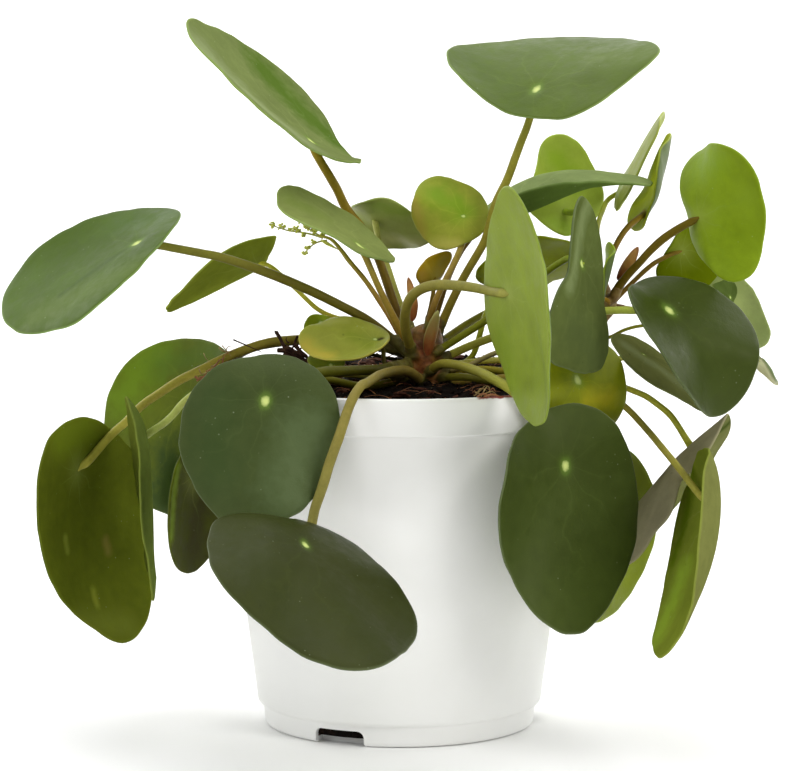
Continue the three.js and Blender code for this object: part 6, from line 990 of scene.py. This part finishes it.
BITS_PLACED = [
    ([(-53.81, 7.5, 123.54), (-49.06, 7.5, 121.49), (-44.38, 7.5, 119.37)], 0.26, 4),
    ([(-40.04, 7.5, 126.14), (-38.69, 7.5, 123.99), (-37.62, 7.2, 121.84), (-36, 7, 119.68), (-33.52, 7, 117.96), (-30.29, 7, 115.03)], 0.6375, 4),
    ([(-39.82, 7.5, 125.72), (-40.46, 7.5, 126.53)], 0.4, 4),
    ([(-33.02, 7.4, 124.82), (-33.84, 7.4, 122.9), (-34.39, 7.4, 121.27), (-36.02, 7.4, 119.71)], 0.4125, 4),
    ([(-39.5, 7, 120.24), (-36.75, 7, 119.91), (-33.19, 7, 118.29), (-29.96, 7, 116.98)], 0.8, 4),
    ([(-36.73, 6.6, 121.09), (-33.82, 6.6, 119.63), (-30.27, 6.6, 117.84)], 0.75, 4),
    ([(-33.82, 6.8, 121.88), (-31.88, 6.6, 119.63), (-29.94, 6.4, 118.02), (-28.65, 6.2, 115.11)], 0.7, 4),
    ([(-35.46, 7.2, 118.27), (-32.23, 7, 116.66), (-29.3, 6.6, 116.7), (-27.68, 6, 113.83)], 0.9, 4),
    ([(-37.4, 7, 119.26), (-34.17, 7, 116.98), (-30.95, 7.2, 113.05)], 0.7, 4),
    ([(-32.52, 6.4, 120.3), (-31.22, 6.4, 121.44), (-30.25, 6.4, 122.25)], 0.35, 4),
    ([(-35.77, 7.2, 122.49), (-36.74, 7.2, 123.47), (-36.41, 7.2, 124.45)], 0.28, 4),
    ([(-61.18, 9.3, 114.62), (-59.72, 9.3, 115.11), (-58.25, 9.3, 116.75), (-56.3, 9.3, 117.56)], 0.3, 5),
    ([(-62.8, 9, 113.03), (-60.85, 9, 113.84), (-59.21, 9, 115.8), (-58.56, 9, 117.1)], 0.28, 3),
    ([(-65.03, 8.4, 113.9), (-64.23, 8.4, 112.27), (-62.6, 8.4, 112.76), (-61.78, 8.4, 114.07)], 0.24, 5),
    ([(-66.32, 8, 111.5), (-64.7, 8, 110.52), (-63.07, 8, 111.99), (-61.45, 8, 112.97)], 0.4, 3),
    ([(-65.68, 8, 110.03), (-64.37, 8, 111.5), (-62.92, 8, 110.36), (-63.74, 8, 109.38)], 0.3, 3),
    ([(-59.53, 8.6, 112.9), (-57.57, 8.6, 115.19), (-56.91, 8.6, 118.12), (-55.28, 8.6, 119.26)], 0.3, 3),
    ([(-58.61, 10.5, 120.7), (-57.32, 10.5, 119.56), (-55.05, 10.5, 119.4), (-53.1, 10.5, 119.89)], 0.26, 5),
    ([(-57.62, 10.2, 121.38), (-56.33, 10.2, 119.92), (-54.72, 10.2, 117.96)], 0.24, 5),
    ([(-56.67, 10.4, 119.24), (-55.36, 10.4, 121.2), (-54.23, 10.4, 120.22)], 0.22, 5),
    ([(-63.58, 9.2, 119.04), (-62.78, 9.2, 117.25), (-60.85, 9.2, 115.45)], 0.14, 5),
    ([(-25.45, -6, 115.59), (-24.17, -6, 116.4), (-23.2, -6.5, 115.16), (-21.91, -7, 116.18), (-20.63, -7, 114.9)], 0.3, 3),
    ([(-24.79, -7, 114.9), (-22.87, -7, 114.41), (-20.95, -7, 115.38)], 0.28, 3),
    ([(22.84, -53, 112.09), (24.7, -52, 113.52), (26.56, -51, 115.11), (27.79, -51, 114.49)], 0.2, 5),
    ([(24.98, -53.4, 111.99), (27.15, -52, 115.07), (27.91, -52.5, 112.65)], 0.2, 5),
    ([(23.15, -53, 113.33), (25.29, -53, 112.56), (28.36, -53, 113.48), (29.89, -53, 112.4)], 0.26, 5),
    ([(23.74, -54, 111.9), (25.88, -54, 112.98), (27.72, -54, 111.9)], 0.34, 3),
    ([(23.48, -52, 112.29), (25.01, -52, 114.3), (26.85, -52, 113.52)], 0.18, 5),
    ([(27.46, -52, 113.22), (28.69, -52, 114.45), (29.61, -52, 113.06)], 0.2, 3),
    ([(25.89, -54, 112.05), (28.33, -54, 112.67), (31.09, -54, 112.05)], 0.36, 3),
]


# ------------------------------------------------------------------ leaves
def make_leaf(i, name, q, r, base, free, look):
    a = q[6]
    rings = 20 if a > 20 else 14 if a > 10 else 10
    around = 112 if a > 20 else 80 if a > 10 else 56
    bv, bf, ring, side, loc, n0, c0 = blade_mesh(name, q, 100 + i, rings, around, ripple=1.0 if a > 12 else 0.7)
    # stalk from inside the stem to the underside of the blade
    pts = list(base[:-1]) + list(free) if len(base) > 1 else list(free)
    pts = [np.array(p, float) for p in pts]
    pts[-1] = c0 - n0 * 1.05
    P, s = catmull(pts, 1.3)
    Ltot = s[-1]
    rad = r * (1 + 0.22 * np.exp(-s / 4.0) + 0.05 * np.sin(s / Ltot * 9 + i)) * (1 - 0.14 * s / Ltot)
    rad = rad * (1 + 0.22 * np.exp(-((Ltot - s) / 2.2) ** 1.3))
    d0 = P[-1] - P[-3]
    d0 = d0 / np.linalg.norm(d0)
    sn = max(0.3, abs(float(d0 @ n0)))
    rad = np.minimum(rad, (0.38 + (Ltot - s) * sn) / max(0.3, math.sqrt(max(0.0, 1 - sn * sn))))
    sv, sf, st = tube_mesh(P, rad, 14, wob=0.03, seed=i)
    V = np.r_[bv, sv]
    F = bf + [tuple(k + len(bv) for k in f) for f in sf]
    ob = new_object("leaf_%02d_blade_and_stalk" % i, V * MM, F)
    attr(ob, "ring", np.r_[ring, np.zeros(len(sv))])
    attr(ob, "side", np.r_[side, np.zeros(len(sv))])
    attr(ob, "loc", np.r_[np.c_[loc, np.zeros(len(loc))], np.zeros((len(sv), 3))], "FLOAT_VECTOR")
    attr(ob, "along", np.r_[np.ones(len(bv)), (s / Ltot)[st]])
    top, under, s0, s1, rough = look
    ob.data.materials.append(blade_material("blade_%02d" % i, top, under, i, rough, patches=TONE_SHEEN_AND_SHADE_PATCHES.get(i, ()), dots=DOTS.get(i, 1.0)))
    ob.data.materials.append(stalk_material("stalk_%02d" % i, s0, s1))
    ob.data.polygons.foreach_set("material_index", [0] * len(bf) + [1] * len(sf))
    return finish_piece(ob, "young_leaf" if i in (32, 34) else "leaf", name)


def make_stems():
    def joined(parts, name, voxel, m, node_name):
        V, F, n = [], [], 0
        for v, f in parts:
            V.append(v)
            F += [tuple(k + n for k in fa) for fa in f]
            n += len(v)
        ob = new_object(name, np.concatenate(V) * MM, F)
        md = ob.modifiers.new("r", "REMESH")
        md.mode = "VOXEL"
        md.voxel_size = voxel * MM
        bpy.context.view_layer.objects.active = ob
        bpy.ops.object.modifier_apply(modifier=md.name)
        sm = ob.modifiers.new("s", "SMOOTH")
        sm.factor = 0.5
        sm.iterations = 4
        bpy.ops.object.modifier_apply(modifier=sm.name)
        me = ob.data
        co = np.zeros(len(me.vertices) * 3)
        me.vertices.foreach_get("co", co)
        no = np.zeros(len(me.vertices) * 3)
        me.vertices.foreach_get("normal", no)
        co = co.reshape(-1, 3)
        no = no.reshape(-1, 3)
        p = co / MM
        d = vnoise(p / 2.1, 9) * 0.16 + vnoise(np.c_[p[:, 0] / 5, p[:, 1] / 5, p[:, 2] / 0.9], 8) * 0.12
        me.vertices.foreach_set("co", (co + no * d[:, None] * MM).ravel())
        me.update()
        me.polygons.foreach_set("use_smooth", [True] * len(me.polygons))
        me.materials.append(m)
        dist = np.hypot(p[:, 0] - STEM_X, p[:, 1] - STEM_Y)
        ol = np.clip((dist - 5.4) / 2.4, 0, 1) + np.clip((p[:, 2] - 121.5) / 5.0, 0, 1) * 0.55
        attr(ob, "olive", np.clip(ol, 0, 1))
        return finish_piece(ob, "stem", node_name)
    # main stem with rings of leaf scars
    z = np.linspace(106.5, 129.6, 62)
    t = np.clip((z - 107.9) / 19.1, 0, 1)
    r = 6.5 - 1.3 * t ** 1.5 + 0.25 * np.sin(z * 1.7) * np.sin(z * 0.43)
    r = r * np.sqrt(np.clip(1 - np.clip((z - 126.4) / 3.5, 0, 0.97) ** 2, 0.02, 1))
    P = np.c_[STEM_X + 0.4 * np.sin(z / 6), np.full(len(z), STEM_Y), z]
    v, f, _ = tube_mesh(P, r, 40, wob=0.06, seed=2)
    parts = [(v, f)]
    sideparts = []
    for i, (q, rr, base, free) in LEAVES.items():
        if len(base) > 1:
            pp = [np.array(x, float) for x in base]
            Pb, s = catmull(pp, 0.9)
            L = s[-1]
            rad = rr * (1.32 - 0.22 * (s / L) ** 2)
            vb, fb, _ = tube_mesh(Pb, rad, 16, wob=0.06, seed=i)
            (sideparts if i in SIDE_LEAVES else parts).append((vb, fb))
    Pb, s = catmull([np.array(x, float) for x in FLOWER[1]], 0.9)
    vb, fb, _ = tube_mesh(Pb, FLOWER[0] * (1.25 - 0.15 * s / s[-1]), 14)
    parts.append((vb, fb))
    joined(parts, "short_main_stem", 0.42, M_STEM, "main_stem")
    P, s = catmull([np.array(x, float) for x in SIDE_STEM], 0.9)
    v, f, _ = tube_mesh(P, 2.45 - 0.35 * s / s[-1] + 0.12 * np.sin(s * 1.3), 18, wob=0.06, seed=4)
    joined([(v, f)] + sideparts, "side_shoot", 0.36, M_SIDE, "side_stem")


def make_flower():
    rng = np.random.default_rng(5)
    r, base, free = FLOWER
    V, F, M, n = [], [], [], 0

    def put(v, f, m):
        nonlocal n
        V.append(v)
        F.extend([tuple(i + n for i in fa) for fa in f])
        M.extend([m] * len(f))
        n += len(v)
    P, s = catmull(list(base[:-1]) + list(free), 0.9)
    left = s[-1] - s
    v, f, tt = tube_mesh(P, r * np.interp(left, [0, 5, 12, 30], [0.42, 0.66, 0.9, 1.02]), 12, wob=0.05)
    along = [list((s / s[-1])[tt])]
    put(v, f, 0)
    iv, if_ = ico(2)
    for br, cluster in FLOWER_BRANCHES:
        P, s = catmull(br, 0.6)
        w = 0.34 if len(br) > 2 else 0.26
        if cluster is None:
            v, f, _ = tube_mesh(P, np.interp(np.linspace(0, 1, len(P)), [0, 0.35, 1], [0.34, 0.62, 0.1]), 8, wob=0.06)
            put(v, f, 1)
            continue
        v, f, _ = tube_mesh(P, np.linspace(w, w * 0.6, len(P)), 8, wob=0.06)
        put(v, f, 2)
        for (c, rad, k) in cluster:
            c = np.array(c, float)
            for j in range(k):
                d = rng.normal(size=3)
                d /= np.linalg.norm(d)
                rr = rng.uniform(0.26, 0.46)
                pc = c + d * rad * rng.uniform(0.45, 1.0)
                v = iv * np.array([rr, rr, rr * 1.25]) * (1 + 0.12 * rng.normal(size=(len(iv), 1)))
                v = v @ rand_rot(rng).T
                put(v + pc, if_, 1)
                Pt = np.array([c, (c + pc) / 2 + rng.normal(size=3) * 0.1, pc])
                v, f, _ = tube_mesh(Pt, [0.14, 0.12, 0.1], 5)
                put(v, f, 2)
    ob = new_object("flower_stalk_with_buds", np.concatenate(V) * MM, F)
    ob.data.materials.append(M_FLOWER)
    ob.data.materials.append(M_BUD)
    ob.data.materials.append(M_TWIG)
    attr(ob, "along", np.r_[np.array(along[0]), np.ones(n - len(along[0]))])
    ob.data.polygons.foreach_set("material_index", M)
    return finish_piece(ob, "flower", "flower_stalk")


FLOWER_BRANCHES = [
    ([(-24.61, 4, 156.74), (-28.15, 4, 157.87), (-31.68, 4, 158.58), (-35.22, 4, 159), (-38.11, 4, 159.8), (-41, 4, 160.86)], [((-41.0, 4.0, 160.93), 1.15, 12), ((-37.95, 4.0, 160.29), 1.25, 14), ((-35.22, 4.0, 159.48), 0.8, 7), ((-33.45, 4.0, 159.64), 1.2, 13), ((-32.32, 4.0, 159.0), 0.9, 8), ((-30.72, 4.0, 157.71), 0.8, 6)]),
    ([(-24.93, 4, 157.07), (-28.14, 4, 159), (-30.39, 4, 160.77), (-31.99, 4, 161.89)], [((-31.83, 4.0, 161.73), 1, 9), ((-29.75, 4.0, 160.29), 1.2, 13), ((-27.82, 4.0, 159.48), 1, 9)]),
    ([(-23.33, 4, 155.94), (-25.58, 4, 155.62), (-27.51, 4, 154.81), (-29.12, 4, 153.52), (-30.42, 4, 151.91)], [((-27.83, 4.0, 155.78), 1.1, 11), ((-29.45, 4.0, 153.68), 1.1, 11), ((-30.42, 4.0, 151.91), 0.9, 9)]),
    ([(-26.22, 4, 157.39), (-27.18, 4, 158.84)], [((-27.34, 4.0, 158.84), 0.9, 8)]),
    ([(-23.97, 4, 156.58), (-24.61, 4, 157.87)], [((-24.77, 4.0, 157.87), 0.7, 6)]),
    ([(-25.26, 4, 156.1), (-22.69, 4, 154.65), (-19.47, 4, 152.88)], None),
]


def make_scales():
    for k, (name, q) in enumerate(SCALES.items()):
        bv, bf, ring, side, loc, n0, c0 = blade_mesh(name, q, 300 + k, 14, 56, th=0.35, ripple=1.6)
        ob = new_object("papery_" + name, bv * MM, bf)
        attr(ob, "ring", ring)
        attr(ob, "along", np.clip((loc[:, 0] - loc[:, 0].min()) / np.ptp(loc[:, 0]), 0, 1))
        ob.data.materials.append(M_SCALE if name == "bud_scale_front" else M_SCALE_TAN)
        finish_piece(ob, "bud_scale", name)


# ------------------------------------------------------------------ build
make_pot()
make_soil()
make_bits()
make_stems()
for i, (q, r, base, free) in LEAVES.items():
    make_leaf(i, "leaf_%02d" % i, q, r, base, free, LOOKS[i])
make_flower()
make_scales()

# ------------------------------------------------------------------ floor, light, camera
sc = bpy.context.scene
# a pale sweep: flat floor that curves up behind the plant
prof = [(-4.0, 0.0), (-1.5, 0.0), (0.7, 0.0)]
for k in range(1, 13):
    t = k / 12 * math.pi / 2
    prof.append((0.7 + 1.2 * math.sin(t), 1.2 * (1 - math.cos(t))))
prof += [(1.9, 2.2), (1.9, 3.6)]
fv, ff = [], []
for y, z in prof:
    fv += [(-4.0, y, z), (4.0, y, z)]
for k in range(len(prof) - 1):
    ff.append((2 * k, 2 * k + 1, 2 * k + 3, 2 * k + 2))
floor = new_object("floor", fv, ff)
m, nt, bs = mat("floor_pale")
bs.inputs["Base Color"].default_value = (0.96, 0.96, 0.955, 1)
bs.inputs["Roughness"].default_value = 0.9
bs.inputs["Specular IOR Level"].default_value = 0.1
floor.data.materials.append(m)

world = bpy.data.worlds.new("studio")
sc.world = world
world.use_nodes = True
bg = world.node_tree.nodes["Background"]
bg.inputs[0].default_value = (1.0, 1.0, 1.0, 1)
bg.inputs[1].default_value = 0.32


def area(name, loc, aim, size, power, color=(1, 1, 1)):
    d = bpy.data.lights.new(name, "AREA")
    d.shape = "SQUARE"
    d.size = size
    d.energy = power
    d.color = color
    o = bpy.data.objects.new(name, d)
    sc.collection.objects.link(o)
    o.location = loc
    o.rotation_mode = "QUATERNION"
    o.rotation_quaternion = (Vector(loc) - Vector(aim)).to_track_quat("Z", "Y")
    return o


area("top", (0, 0.35, 2.4), (0, 0.35, 0), 3.0, 50)
area("key", (1.15, -1.15, 1.15), (0, 0, 0.13), 0.8, 13, (1.0, 0.99, 0.965))
area("fill", (-1.5, -0.8, 1.0), (0, 0, 0.13), 0.9, 8, (0.98, 0.99, 1.0))
area("wall_left", (-1.7, 0.9, 1.1), (-0.3, 1.75, 0.35), 0.9, 16)
area("wall_right", (1.7, 0.9, 1.1), (0.3, 1.75, 0.35), 0.9, 16)

cd = bpy.data.cameras.new("camera")
cam = bpy.data.objects.new("camera", cd)
sc.collection.objects.link(cam)
cd.sensor_fit = "HORIZONTAL"
cd.sensor_width = 36
cd.lens = 36 * 3437.0 / 800
cd.clip_start, cd.clip_end = 0.05, 60
cam.location = (0.000155, -1.1, 0.2315)
cam.rotation_euler = (math.pi / 2 - 0.1105, 0, 0)
sc.camera = cam
sc.view_settings.view_transform = "Standard"
